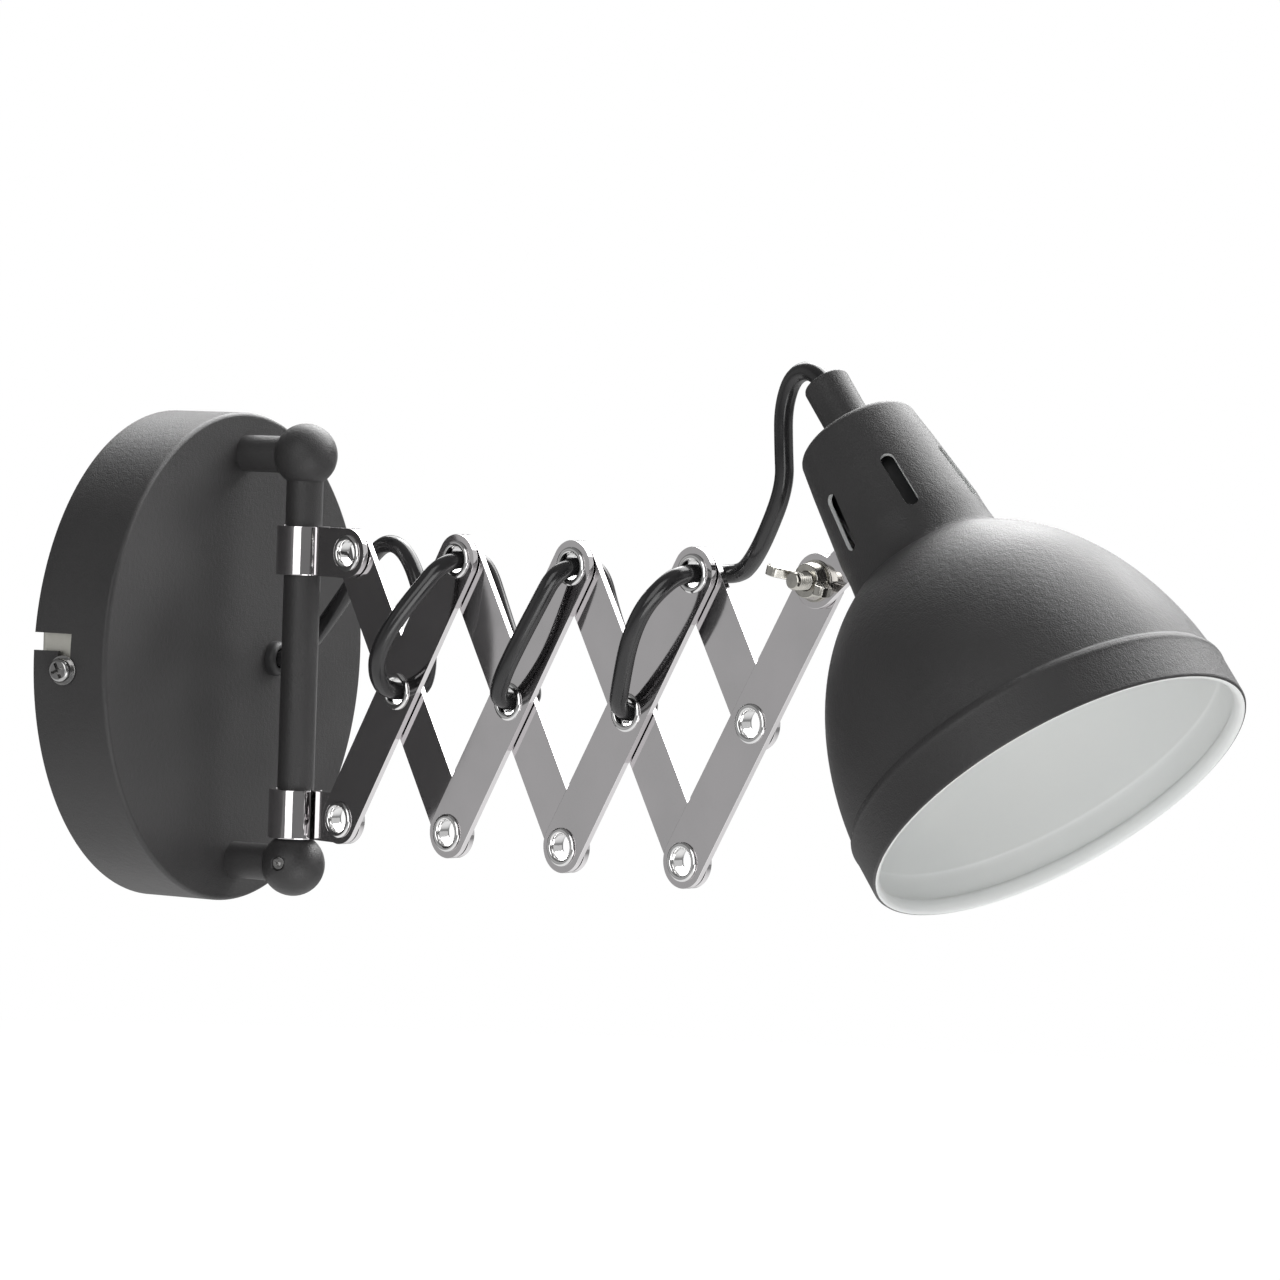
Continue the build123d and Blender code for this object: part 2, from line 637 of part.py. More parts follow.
def rivet(pivot, in_front):
    """Hollow rivet with rolled flanges, seated on the layer that carries it."""
    front = STACK + (0 if in_front else FLANGE_PLAY)
    back = -STACK - (FLANGE_PLAY if in_front else 0)
    with BuildPart() as piece:
        with BuildSketch(pivot_section(pivot)) as section:
            with Locations(((RIVET_BORE_R + BARREL_R) / 2, (front + back) / 2)):
                Rectangle(BARREL_R - RIVET_BORE_R, front - back + 2 * FLANGE_T)
            for face, direction in ((front, 1), (back, -1)):
                with Locations(((RIVET_BORE_R + FLANGE_R) / 2, face + direction * FLANGE_T / 2)):
                    Rectangle(FLANGE_R - RIVET_BORE_R, FLANGE_T)
            outside = section.vertices().sort_by(Axis.Y)
            fillet(outside[:2] + outside[-2:], FLANGE_EDGE_R)
        revolve(axis=pivot_axis(pivot))
    return piece


# Front strips rise outwards and back strips fall outwards
save(strip(LOWER_PIVOT, STRIP_ANGLE, FRONT_LAYER, (1, 2), (0,)), "front_strip_1")
save(strip(grid_point(2, -1), STRIP_ANGLE, FRONT_LAYER, (1, 2), (0,)), "front_strip_2")
save(strip(grid_point(4, -1), STRIP_ANGLE, FRONT_LAYER, (1, 2), (0,)), "front_strip_3")
save(strip(UPPER_PIVOT, -STRIP_ANGLE, BACK_LAYER, (2,), (0, 1)), "back_strip_1")
save(strip(grid_point(2, 1), -STRIP_ANGLE, BACK_LAYER, (2,), (0, 1)), "back_strip_2")
save(strip(grid_point(4, 1), -STRIP_ANGLE, BACK_LAYER, (2,), (0, 1)), "back_strip_3")
save(strip(grid_point(6, 1), -STRIP_ANGLE, BACK_LAYER, (), (0, 1), half_strips=1), "back_strip_4")

with BuildPart() as front_strip_4:
    add(strip(grid_point(6, -1), STRIP_ANGLE, FRONT_LAYER, (1,), (0,)).part)
    with BuildSketch(arm_plane(TILT_PIVOT, FRONT_LAYER)):
        Circle(BOLT_R + ASSEMBLY)
    extrude(amount=STRIP_T, mode=Mode.SUBTRACT)
save(front_strip_4, "front_strip_4")

save(rivet(LOWER_PIVOT, False), "lower_collar_rivet")
save(rivet(UPPER_PIVOT, True), "upper_collar_rivet")
for number in (1, 2, 3):
    middle_rivet = rivet(grid_point(2 * number - 1, 0), True)
    top_rivet = rivet(grid_point(2 * number, 1), True)
    bottom_rivet = rivet(grid_point(2 * number, -1), False)
    save(group(middle_rivet, top_rivet), f"front_rivets_{number}")
    save(bottom_rivet, f"back_rivet_{number}")
save(rivet(grid_point(7, 0), True), "front_rivet_4")

# Tilt bolt, washer and wing nut
bolt_seat = arm_plane(TILT_PIVOT, FRONT_LAYER)
with BuildPart() as tilt_bolt:
    with BuildSketch(bolt_seat):
        Circle(BOLT_HEAD_R)
    extrude(amount=-BOLT_HEAD_T)
    fillet(tilt_bolt.faces().sort_by(pivot_axis(TILT_PIVOT))[0].edges(), BOLT_HEAD_T * PAN_ROUNDING)
    with BuildSketch(bolt_seat):
        Circle(BOLT_R)
    extrude(amount=BOLT_TIP - FRONT_LAYER)
    chamfer(tilt_bolt.faces().sort_by(pivot_axis(TILT_PIVOT))[-1].edges(), BOLT_CHAMFER)
save(tilt_bolt, "tilt_bolt")

lug_face = LUG_SIDE + LUG_T
washer_plane = arm_plane(TILT_PIVOT, lug_face)
save(ring(washer_plane, TILT_WASHER_R, BOLT_R + WASHER_PLAY, TILT_WASHER_T), "tilt_washer")

nut_base = lug_face + TILT_WASHER_T + FLANGE_PLAY
with BuildPart() as wing_nut:
    with BuildSketch(arm_plane(TILT_PIVOT, nut_base)):
        Circle(HUB_BASE_R)
    with BuildSketch(arm_plane(TILT_PIVOT, nut_base + HUB_H)):
        Circle(HUB_TOP_R)
    loft()
    with BuildSketch(pivot_section(TILT_PIVOT, WING_TURN)) as wings:
        for flank in (-1, 1):
            with BuildLine():
                Polyline(
                    (0, nut_base + WING_ROOT),
                    (flank * HUB_TOP_R, nut_base + WING_ROOT),
                    (flank * (WING_SPAN_R - WING_LEAN), nut_base + WING_KNEE),
                    (flank * WING_SPAN_R, nut_base + WING_RISE),
                    (flank * (WING_SPAN_R - WING_TIP_W), nut_base + WING_RISE),
                    (flank * WING_CROTCH_R, nut_base + HUB_H),
                    (0, nut_base + HUB_H),
                    close=True,
                )
            make_face()
        fillet(wings.vertices().group_by(Axis.Y)[-1], WING_TIP_R)
    extrude(amount=WING_T / 2, both=True)
    with BuildSketch(arm_plane(TILT_PIVOT, nut_base)):
        Circle(BOLT_R + RUNNING)
    extrude(amount=WING_RISE, mode=Mode.SUBTRACT)
save(wing_nut, "wing_nut")

# Lug of the head: a flat plate from the bolt through a slit in the neck
neck_slope = (NECK_WAIST_R - NECK_TOP_R) / (NECK_H - NECK_WAIST_H)
neck_r_at_hinge = NECK_TOP_R + neck_slope * (NECK_TOP - HINGE_STATION)
lug_start = neck_r_at_hinge - NECK_WALL - LUG_TONGUE
lug_low = HINGE_STATION - LUG_END_R
with BuildPart() as head_lug:
    with BuildSketch(LAMP_SECTION) as lug_outline:
        with Locations((HINGE_OFFSET, HINGE_STATION)):
            Circle(LUG_END_R)
        with Locations(((lug_start + HINGE_OFFSET) / 2, lug_low + LUG_NECK_W / 2)):
            Rectangle(HINGE_OFFSET - lug_start, LUG_NECK_W)
        with Locations((HINGE_OFFSET - LUG_END_R / 2, HINGE_STATION - LUG_END_R / 2)):
            Rectangle(LUG_END_R, LUG_END_R)
        throat = lug_outline.vertices().group_by(Axis.Y)[-2].sort_by(Axis.X)[-1]
        fillet(throat, LUG_FILLET_R)
    extrude(amount=LUG_T / 2, both=True)
    with BuildSketch(arm_plane(TILT_PIVOT, LUG_SIDE)):
        Circle(BOLT_R + RUNNING)
    extrude(amount=LUG_T, mode=Mode.SUBTRACT)
save(head_lug, "head_lug")

# Neck cap: a tapered sheet cup with vents, closed at its top
with BuildPart() as neck_cap:
    with BuildSketch(LAMP_SECTION):
        with BuildLine():
            taper = Line((NECK_TOP_R, NECK_TOP), (NECK_WAIST_R, DOME_TOP + NECK_WAIST_H))
            TangentArc(taper @ 1, (NECK_BASE_R, DOME_TOP), tangent=taper % 1)
            Polyline((NECK_BASE_R, DOME_TOP), (0, DOME_TOP), (0, NECK_TOP), (NECK_TOP_R, NECK_TOP))
        make_face()
    revolve(axis=LAMP_AXIS)
    fillet(neck_cap.faces().sort_by(LAMP_AXIS)[-1].edges(), NECK_EDGE_R)
    offset(amount=-NECK_WALL, openings=neck_cap.faces().sort_by(LAMP_AXIS)[0])
    with BuildSketch(lamp_plane(NECK_TOP)):
        Circle(NIPPLE_R + ASSEMBLY)
    extrude(amount=-2 * NECK_WALL, mode=Mode.SUBTRACT)
    for vent in range(VENT_COUNT):
        turn = math.radians(VENT_TURN + vent * 360 / VENT_COUNT)
        outwards = SIDE * math.cos(turn) + TO_HINGE * math.sin(turn)
        with BuildSketch(Plane(origin=lamp_point(VENT_STATION), x_dir=LAMP_OUT, z_dir=outwards)):
            SlotOverall(VENT_LENGTH, VENT_W)
        extrude(amount=NECK_BASE_R, mode=Mode.SUBTRACT)
    with BuildSketch(LAMP_SECTION):
        with Locations((HINGE_OFFSET / 2, lug_low + LUG_NECK_W / 2)):
            Rectangle(HINGE_OFFSET, LUG_NECK_W + 2 * ASSEMBLY)
    extrude(amount=LUG_T / 2 + ASSEMBLY, both=True, mode=Mode.SUBTRACT)
save(neck_cap, "neck_cap")

# Shade: a bell with a shouldered band and a rolled rim
with BuildPart() as shade:
    with BuildSketch(LAMP_SECTION) as bell_outside:
        with Locations((0, DOME_CENTRE)):
            Ellipse(DOME_R, DOME_RISE)
        with Locations((DOME_R, DOME_TOP / 2)):
            Rectangle(2 * DOME_R, DOME_TOP, mode=Mode.INTERSECT)
        with Locations((RIM_R / 2, BAND_H / 2)):
            Rectangle(RIM_R, BAND_H)
        band_corner = bell_outside.vertices().sort_by(Axis.X)[-2:].sort_by(Axis.Y)[-1]
        fillet(band_corner, SHOULDER_R)
    revolve(axis=LAMP_AXIS)
    with BuildSketch(LAMP_SECTION) as bell_inside:
        with Locations((0, DOME_CENTRE)):
            Ellipse(DOME_R - SHADE_WALL, DOME_RISE - SHADE_WALL)
        with Locations((DOME_R, (DOME_TOP - SHADE_WALL) / 2)):
            Rectangle(2 * DOME_R, DOME_TOP - SHADE_WALL, mode=Mode.INTERSECT)
        with Locations(((RIM_R - SHADE_WALL) / 2, (BAND_H - SHADE_WALL) / 2)):
            Rectangle(RIM_R - SHADE_WALL, BAND_H - SHADE_WALL)
    revolve(axis=LAMP_AXIS, mode=Mode.SUBTRACT)
    with BuildSketch(LAMP_SECTION) as hem:
        with Locations((RIM_R - (SHADE_WALL + HEM_T) / 2, HEM_H / 2)):
            Rectangle(SHADE_WALL + HEM_T, HEM_H)
        fillet(hem.vertices().group_by(Axis.Y)[0], HEM_EDGE_R)
    revolve(axis=LAMP_AXIS)
    with BuildSketch(lamp_plane(DOME_TOP)):
        Circle(HOLDER_SKIRT_R + SHADE_HOLE_PLAY)
    extrude(amount=-2 * SHADE_WALL, mode=Mode.SUBTRACT)
save(shade, "shade")

# Cord grip on the nipple that clamps the neck cap to the lamp holder
with BuildPart() as cord_grip:
    with BuildSketch(lamp_plane(NECK_TOP)):
        Circle(GRIP_R)
    extrude(amount=GRIP_H)
    fillet(cord_grip.faces().sort_by(LAMP_AXIS)[-1].edges(), GRIP_EDGE_R)
    with BuildSketch(lamp_plane(NECK_TOP)):
        Circle(NIPPLE_R + ASSEMBLY)
    extrude(amount=NIPPLE_IN_GRIP, mode=Mode.SUBTRACT)
    with BuildSketch(lamp_plane(NECK_TOP)):
        Circle(CABLE_BORE_R)
    extrude(amount=GRIP_H, mode=Mode.SUBTRACT)
save(cord_grip, "cord_grip")

holder_top = NECK_TOP - NECK_WALL
nipple_length = NIPPLE_IN_HOLDER + NECK_WALL + NIPPLE_IN_GRIP
nipple = ring(lamp_plane(holder_top - NIPPLE_IN_HOLDER), NIPPLE_R, NIPPLE_BORE_R, nipple_length)
save(nipple, "nipple")

# Lamp holder: body, screw shell, centre contact and the ring that clamps the shade
with BuildPart() as lamp_holder:
    with BuildSketch(lamp_plane(HOLDER_MOUTH)):
        Circle(HOLDER_SKIRT_R)
    extrude(amount=DOME_TOP - HOLDER_MOUTH)
    with BuildSketch(lamp_plane(DOME_TOP)):
        Circle(HOLDER_FLANGE_R)
    extrude(amount=HOLDER_FLANGE_T)
    with BuildSketch(lamp_plane(DOME_TOP)):
        Circle(HOLDER_R)
    extrude(amount=holder_top - DOME_TOP)
    fillet(lamp_holder.faces().sort_by(LAMP_AXIS)[-1].edges(), HOLDER_EDGE_R)
    with BuildSketch(lamp_plane(holder_top)):
        Circle(NIPPLE_R + ASSEMBLY)
    extrude(amount=-(NIPPLE_IN_HOLDER + 1), mode=Mode.SUBTRACT)
    with BuildSketch(lamp_plane(HOLDER_MOUTH)):
        Circle(HOLDER_MOUTH_R)
    extrude(amount=HOLDER_MOUTH_DEPTH, mode=Mode.SUBTRACT)
    with BuildSketch(lamp_plane(HOLDER_MOUTH)):
        Circle(SOCKET_R + SHELL_T + ASSEMBLY)
    extrude(amount=SOCKET_DEPTH, mode=Mode.SUBTRACT)
save(lamp_holder, "lamp_holder")

shell_plane = lamp_plane(HOLDER_MOUTH + HOLDER_MOUTH_DEPTH)
save(ring(shell_plane, SOCKET_R + SHELL_T, SOCKET_R, SHELL_LENGTH), "screw_shell")

socket_floor = HOLDER_MOUTH + SOCKET_DEPTH
with BuildPart() as centre_contact:
    with BuildSketch(LAMP_SECTION):
        with BuildLine():
            Polyline(
                (-CONTACT_LENGTH / 2, socket_floor),
                (CONTACT_LENGTH / 2, socket_floor),
                (CONTACT_LENGTH / 2, socket_floor - CONTACT_T),
                (-CONTACT_LENGTH / 2 + 2 * CONTACT_T, socket_floor - CONTACT_T),
                (CONTACT_T, socket_floor - CONTACT_RISE + CONTACT_T),
                (CONTACT_T, socket_floor - CONTACT_RISE),
                (-CONTACT_T, socket_floor - CONTACT_RISE),
                (-CONTACT_LENGTH / 2, socket_floor - CONTACT_T),
                close=True,
            )
        make_face()
    extrude(amount=CONTACT_W / 2, both=True)
save(centre_contact, "centre_contact")

with BuildPart() as shade_ring:
    with BuildSketch(lamp_plane(DOME_TOP - SHADE_WALL)):
        Circle(RING_R)
        Circle(HOLDER_SKIRT_R + ASSEMBLY, mode=Mode.SUBTRACT)
        with PolarLocations(RING_R, RING_NOTCHES):
            Circle(RING_NOTCH_R, mode=Mode.SUBTRACT)
    extrude(amount=-RING_H)
save(shade_ring, "shade_ring")


# Cable, from the terminal block through five rivets to the cord grip
def strip_route(start, turn, route):
    """Route beside a strip, from shares of its half, distances across it and off the middle plane."""
    plane = arm_plane(start, 0, turn)
    return [plane.from_local_coords(Vector(share * HALF_STRIP, *place)) for share, *place in route]


def near(place, steps):
    """Route near a place: steps out along the arm, up and to the front side."""
    return [place + OUT * out + UP * up + SIDE * front for out, up, front in steps]


block_depth = BRACKET_T + BLOCK_T / 2
step_across, step_deep = INSIDE_STEP
cable("cable_end", [
    Vector(BUSH_X, -CABLE_CUT_DEPTH, BUSH_Z),
    Vector(BUSH_X, -block_depth - step_deep, BUSH_Z),
    Vector(BUSH_X - step_across, -block_depth, BUSH_Z),
    Vector(-BLOCK_FROM_CABLE, -block_depth, BUSH_Z),
])

# The feed leaves the bush behind the rod, arches behind the upper collar
# and comes through the first middle pivot from behind
first_middle = grid_point(1, 0)
upper_height = UPPER_PIVOT[1]
feed_bend = near(arm_point(0, upper_height), [FEED_BEHIND_ROD])[0]
feed_arch = near(arm_point(*UPPER_PIVOT), FEED_BEHIND_COLLAR)
feed_cut = (feed_bend + feed_arch[0]) / 2
cable("cable_feed_wall", [
    Vector(BUSH_X, -CABLE_CUT_DEPTH, BUSH_Z),
    Vector(BUSH_X, -CABLE_CUT_DEPTH - FEED_STRAIGHT, BUSH_Z),
    feed_bend,
    feed_cut,
])
cable("cable_feed_arm", [
    feed_cut,
    *feed_arch,
    *near(arm_point(*first_middle), FEED_TO_PIVOT),
    arm_point(*first_middle, FEED_BEHIND_PIVOT),
    arm_point(*first_middle, CABLE_JOIN),
])

ends_in_rivets = ((0, 0, CABLE_JOIN), (1, 0, CABLE_JOIN))
for number, route in enumerate(FRONT_LOOPS, start=1):
    places = (ends_in_rivets[0], *route, ends_in_rivets[1])
    cable(f"cable_loop_{number}", strip_route(grid_point(2 * number - 1, 0), STRIP_ANGLE, places))
for number, route in enumerate(BACK_LINKS, start=1):
    places = (ends_in_rivets[0], *route, ends_in_rivets[1])
    cable(f"cable_link_{number}", strip_route(grid_point(2 * number, 1), -STRIP_ANGLE, places))

# The tail leaves the last top pivot at the back and drops into the cord grip
last_top = grid_point(6, 1)
tail_low = near(arm_point(*last_top), TAIL_LOW)
tail_high = near(lamp_point(GRIP_TOP), TAIL_HIGH)
tail_cut = (tail_low[-1] + tail_high[0]) / 2
cable("cable_tail_arm", [
    arm_point(*last_top, CABLE_JOIN),
    arm_point(*last_top, TAIL_BEHIND_PIVOT),
    *tail_low,
    tail_cut,
])
cable("cable_tail_head", [
    tail_cut,
    *tail_high,
    lamp_point(GRIP_TOP + TAIL_OVER_GRIP),
    lamp_point(GRIP_TOP - CABLE_IN_GRIP),
])
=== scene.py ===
"""Looks, small pieces, cable, studio and camera of a wall spotlight on a scissor arm."""

import logging
import math
from dataclasses import dataclass
from enum import Enum

import bpy
from mathutils import Matrix, Vector

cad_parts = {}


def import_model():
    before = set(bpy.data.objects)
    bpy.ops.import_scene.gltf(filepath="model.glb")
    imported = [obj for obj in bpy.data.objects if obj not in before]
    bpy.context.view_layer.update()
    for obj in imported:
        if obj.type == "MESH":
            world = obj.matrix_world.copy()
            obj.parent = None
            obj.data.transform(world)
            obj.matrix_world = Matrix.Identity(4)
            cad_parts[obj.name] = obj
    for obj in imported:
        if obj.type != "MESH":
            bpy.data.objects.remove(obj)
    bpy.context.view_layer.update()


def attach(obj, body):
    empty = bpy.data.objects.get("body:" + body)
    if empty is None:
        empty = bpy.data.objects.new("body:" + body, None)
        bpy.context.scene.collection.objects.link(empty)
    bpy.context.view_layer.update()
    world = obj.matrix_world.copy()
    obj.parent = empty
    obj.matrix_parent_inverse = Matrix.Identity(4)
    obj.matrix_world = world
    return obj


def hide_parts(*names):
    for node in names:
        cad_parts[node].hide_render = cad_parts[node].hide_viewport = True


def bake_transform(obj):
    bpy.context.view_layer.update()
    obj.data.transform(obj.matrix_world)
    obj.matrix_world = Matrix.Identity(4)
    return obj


log = logging.getLogger("wall_spotlight")

MM = 0.001
TO_METRES = Matrix.Scale(MM, 4)
NodeTree = bpy.types.NodeTree
Object = bpy.types.Object
Material = bpy.types.Material
Socket = bpy.types.NodeSocket
Profile = list[tuple[float, float]]
Colour = tuple[float, float, float]


class Layer(Enum):
    """Which of the arm's two layers of strips a piece belongs to."""

    FRONT = 0.15
    BACK = -1.65


class Recess(Enum):
    """Shape of the driver recess in a screw's head."""

    CROSS = "cross"
    SLOT = "slot"


class Mix(Enum):
    """What a mixing node mixes: its type, its data type and its sockets' places."""

    COLOUR = ("ShaderNodeMix", "RGBA", 6, 7, 2)
    NUMBER = ("ShaderNodeMix", "FLOAT", 2, 3, 0)
    SHADER = ("ShaderNodeMixShader", "", 1, 2, 0)


@dataclass(frozen=True)
class ArmFrame:
    """Places on the arm and the lamp head, in millimetres as the part is drawn, out in metres."""

    swing: float = 18.5
    strip_angle: float = 59.0
    lamp_tilt: float = 39.5
    rod_reach: float = 37.0
    ear_reach: float = 18.0
    half_strip: float = 37.5
    lower_row: float = -37.4628
    hinge_station: float = 76.4
    hinge_offset: float = 27.3
    lamp_side: float = 2.6

    @property
    def out(self) -> Vector:
        """Direction along the arm, away from the rod."""
        turn = math.radians(self.swing)
        return Vector((-math.sin(turn), -math.cos(turn), 0))

    @property
    def side(self) -> Vector:
        """Direction square to the strips, towards the front layer."""
        turn = math.radians(self.swing)
        return Vector((-math.cos(turn), math.sin(turn), 0))

    @property
    def lamp_out(self) -> Vector:
        """Direction of the lamp axis, out of the shade's mouth."""
        tilt = math.radians(self.lamp_tilt)
        return self.out * math.sin(tilt) - Vector((0, 0, math.cos(tilt)))

    @property
    def to_hinge(self) -> Vector:
        """Direction from the lamp axis towards the tilt pivot."""
        return self.lamp_out.cross(self.side)

    def pivot(self, column: int, row: int) -> tuple[float, float]:
        """Distance along the arm and height of a pivot.

        Args:
            column: Columns count outwards from the collars' ears.
            row: -1 for the lower row, 0 for the middle one, 1 for the upper one.

        Returns:
            Distance along the arm and height, in millimetres.
        """
        turn = math.radians(self.strip_angle)
        along = self.ear_reach + column * self.half_strip * math.cos(turn)
        return along, self.lower_row + (row + 1) * self.half_strip * math.sin(turn)

    def point(self, along: float, height: float, side: float = 0.0) -> Vector:
        """Point in the row frame, in metres.

        Args:
            along: Distance from the rod's axis along the arm, in millimetres.
            height: Height above the canopy's middle, in millimetres.
            side: Distance off the arm's middle plane, towards the front layer.

        Returns:
            The point in metres.
        """
        place = Vector((0, -self.rod_reach, height)) + self.out * along + self.side * side
        return place * MM

    def strip_place(self, pivot: tuple[float, float], side: float, turn: float) -> Matrix:
        """Place of a piece on a strip: X along it, Z towards the front.

        Args:
            pivot: Distance along the arm and height of the origin.
            side: Distance of the origin off the arm's middle plane.
            turn: Degrees from the arm's direction up to the piece's X.

        Returns:
            A matrix that takes millimetres to the row frame.
        """
        angle = math.radians(turn)
        along = self.out * math.cos(angle) + Vector((0, 0, math.sin(angle)))
        return self._place(self.point(*pivot, side), along, self.side)

    def lamp_place(self, station: float) -> Matrix:
        """Place on the lamp axis: Z up the head, X towards the hinge.

        Args:
            station: Distance up from the shade's mouth, in millimetres.

        Returns:
            A matrix that takes millimetres to the row frame.
        """
        hinge = self.point(*self.pivot(8, 1), self.lamp_side)
        axis_point = hinge - self.to_hinge * self.hinge_offset * MM
        mouth = axis_point + self.lamp_out * self.hinge_station * MM
        return self._place(mouth - self.lamp_out * station * MM, self.to_hinge, -self.lamp_out)

    @staticmethod
    def _place(origin: Vector, x_axis: Vector, z_axis: Vector) -> Matrix:
        """Matrix from an origin in metres and two square directions, for a mesh in millimetres."""
        y_axis = z_axis.cross(x_axis)
        turn = Matrix((x_axis, y_axis, z_axis)).transposed().to_4x4()
        return Matrix.Translation(origin) @ turn @ TO_METRES


class Bench:
    """Modelling steps that every piece shares."""

    @staticmethod
    def clear() -> None:
        """Leaves edit mode and deselects everything."""
        if bpy.context.mode != "OBJECT":
            bpy.ops.object.mode_set(mode="OBJECT")
        bpy.ops.object.select_all(action="DESELECT")

    @staticmethod
    def pick(piece: Object) -> None:
        """Selects one piece alone and makes it active."""
        Bench.clear()
        piece.select_set(True)
        bpy.context.view_layer.objects.active = piece

    @staticmethod
    def edit(piece: Object, select: str = "SELECT") -> None:
        """Opens a piece in edit mode with all or nothing selected."""
        Bench.pick(piece)
        bpy.ops.object.mode_set(mode="EDIT")
        bpy.ops.mesh.select_all(action=select)

    @staticmethod
    def turned(name: str, profile: Profile, segments: int = 64, closed: bool = False) -> Object:
        """Piece turned about Z, drawn out ring by ring from one circle.

        Args:
            name: Name of the piece.
            profile: Radius and height of each ring, in millimetres.
            segments: Vertices round each ring.
            closed: True for a wall whose last ring meets the first, False for flat ends.

        Returns:
            The piece, in millimetres at the origin.
        """
        Bench.clear()
        radius, height = profile[0]
        bpy.ops.mesh.primitive_circle_add(vertices=segments, radius=radius, location=(0, 0, height))
        piece = bpy.context.object
        piece.name = piece.data.name = name
        bpy.ops.object.transform_apply(location=True, rotation=True, scale=True)
        Bench.edit(piece)
        if not closed:
            bpy.ops.mesh.edge_face_add()
        for next_radius, next_height in profile[1:] + profile[:1] * closed:
            rise = (0, 0, next_height - height)
            bpy.ops.mesh.extrude_edges_move(TRANSFORM_OT_translate={"value": rise})
            share = next_radius / radius
            bpy.ops.transform.resize(value=(share, share, 1), center_override=(0, 0, next_height))
            radius, height = next_radius, next_height
        if not closed:
            bpy.ops.mesh.edge_face_add()
        bpy.ops.mesh.select_all(action="SELECT")
        bpy.ops.mesh.remove_doubles(threshold=0.001)
        bpy.ops.mesh.normals_make_consistent(inside=False)
        bpy.ops.object.mode_set(mode="OBJECT")
        return piece

    @staticmethod
    def stadium(
        name: str, radius: float, length: float, thickness: float, segments: int = 64,
    ) -> Object:
        """Flat plate with round ends, along X from the origin, rising from Z = 0.

        Args:
            name: Name of the piece.
            radius: Half its width, in millimetres.
            length: Distance between the middles of its ends.
            thickness: Its thickness along Z.
            segments: Vertices round both ends together.

        Returns:
            The plate, in millimetres.
        """
        Bench.clear()
        bpy.ops.mesh.primitive_circle_add(vertices=segments, radius=radius, fill_type="NGON")
        piece = bpy.context.object
        piece.name = piece.data.name = name
        Bench.edit(piece, "DESELECT")
        bpy.ops.object.mode_set(mode="OBJECT")
        for vertex in piece.data.vertices:
            vertex.select = vertex.co.x > 1e-4
        bpy.ops.object.mode_set(mode="EDIT")
        bpy.ops.transform.translate(value=(length, 0, 0))
        bpy.ops.mesh.select_all(action="SELECT")
        bpy.ops.mesh.extrude_region_move(TRANSFORM_OT_translate={"value": (0, 0, thickness)})
        bpy.ops.mesh.select_all(action="SELECT")
        bpy.ops.mesh.normals_make_consistent(inside=False)
        bpy.ops.object.mode_set(mode="OBJECT")
        return piece

    @staticmethod
    def block(name: str, low: Vector, high: Vector) -> Object:
        """Box between two corners, in millimetres, to be shaped or to cut with."""
        Bench.clear()
        bpy.ops.mesh.primitive_cube_add(size=1, location=(low + high) / 2)
        piece = bpy.context.object
        piece.name = piece.data.name = name
        piece.scale = high - low
        bpy.ops.object.transform_apply(location=True, rotation=True, scale=True)
        return piece

    @staticmethod
    def spin(degrees: float, axis: str) -> Matrix:
        """Rotation by an angle in degrees about a named axis."""
        return Matrix.Rotation(math.radians(degrees), 4, axis)

    @staticmethod
    def place(piece: Object, matrix: Matrix) -> Object:
        """Puts a piece in its place and leaves its object at the origin."""
        Bench.pick(piece)
        piece.matrix_world = matrix
        bpy.ops.object.transform_apply(location=True, rotation=True, scale=True)
        return piece

    @staticmethod
    def copy(piece: Object, name: str) -> Object:
        """Copy of a piece with its own mesh."""
        Bench.pick(piece)
        bpy.ops.object.duplicate()
        twin = bpy.context.object
        twin.name = twin.data.name = name
        return twin

    @staticmethod
    def join(pieces: list[Object], name: str) -> Object:
        """One object from several pieces."""
        Bench.clear()
        for piece in pieces:
            piece.select_set(True)
        bpy.context.view_layer.objects.active = pieces[0]
        if len(pieces) > 1:
            bpy.ops.object.join()
        pieces[0].name = pieces[0].data.name = name
        return pieces[0]

    @staticmethod
    def carve(piece: Object, cutter: Object) -> Object:
        """Cuts one piece's shape out of another, and removes the cutter."""
        Bench.pick(piece)
        cut = piece.modifiers.new("cut", "BOOLEAN")
        cut.operation, cut.solver, cut.object = "DIFFERENCE", "EXACT", cutter
        bpy.ops.object.modifier_apply(modifier=cut.name)
        bpy.data.objects.remove(cutter, do_unlink=True)
        return piece

    @staticmethod
    def ease(piece: Object, width: float, segments: int = 2, angle: float = 40.0) -> Object:
        """Rounds a piece's sharp edges.

        Args:
            piece: The piece to round.
            width: Width of the rounding, in the units of the mesh.
            segments: Faces across the rounding.
            angle: Least angle of an edge that is rounded, in degrees.

        Returns:
            The same piece.
        """
        Bench.pick(piece)
        rounding = piece.modifiers.new("rounding", "BEVEL")
        rounding.width, rounding.segments = width, segments
        rounding.limit_method, rounding.angle_limit = "ANGLE", math.radians(angle)
        rounding.use_clamp_overlap = True
        bpy.ops.object.modifier_apply(modifier=rounding.name)
        return piece

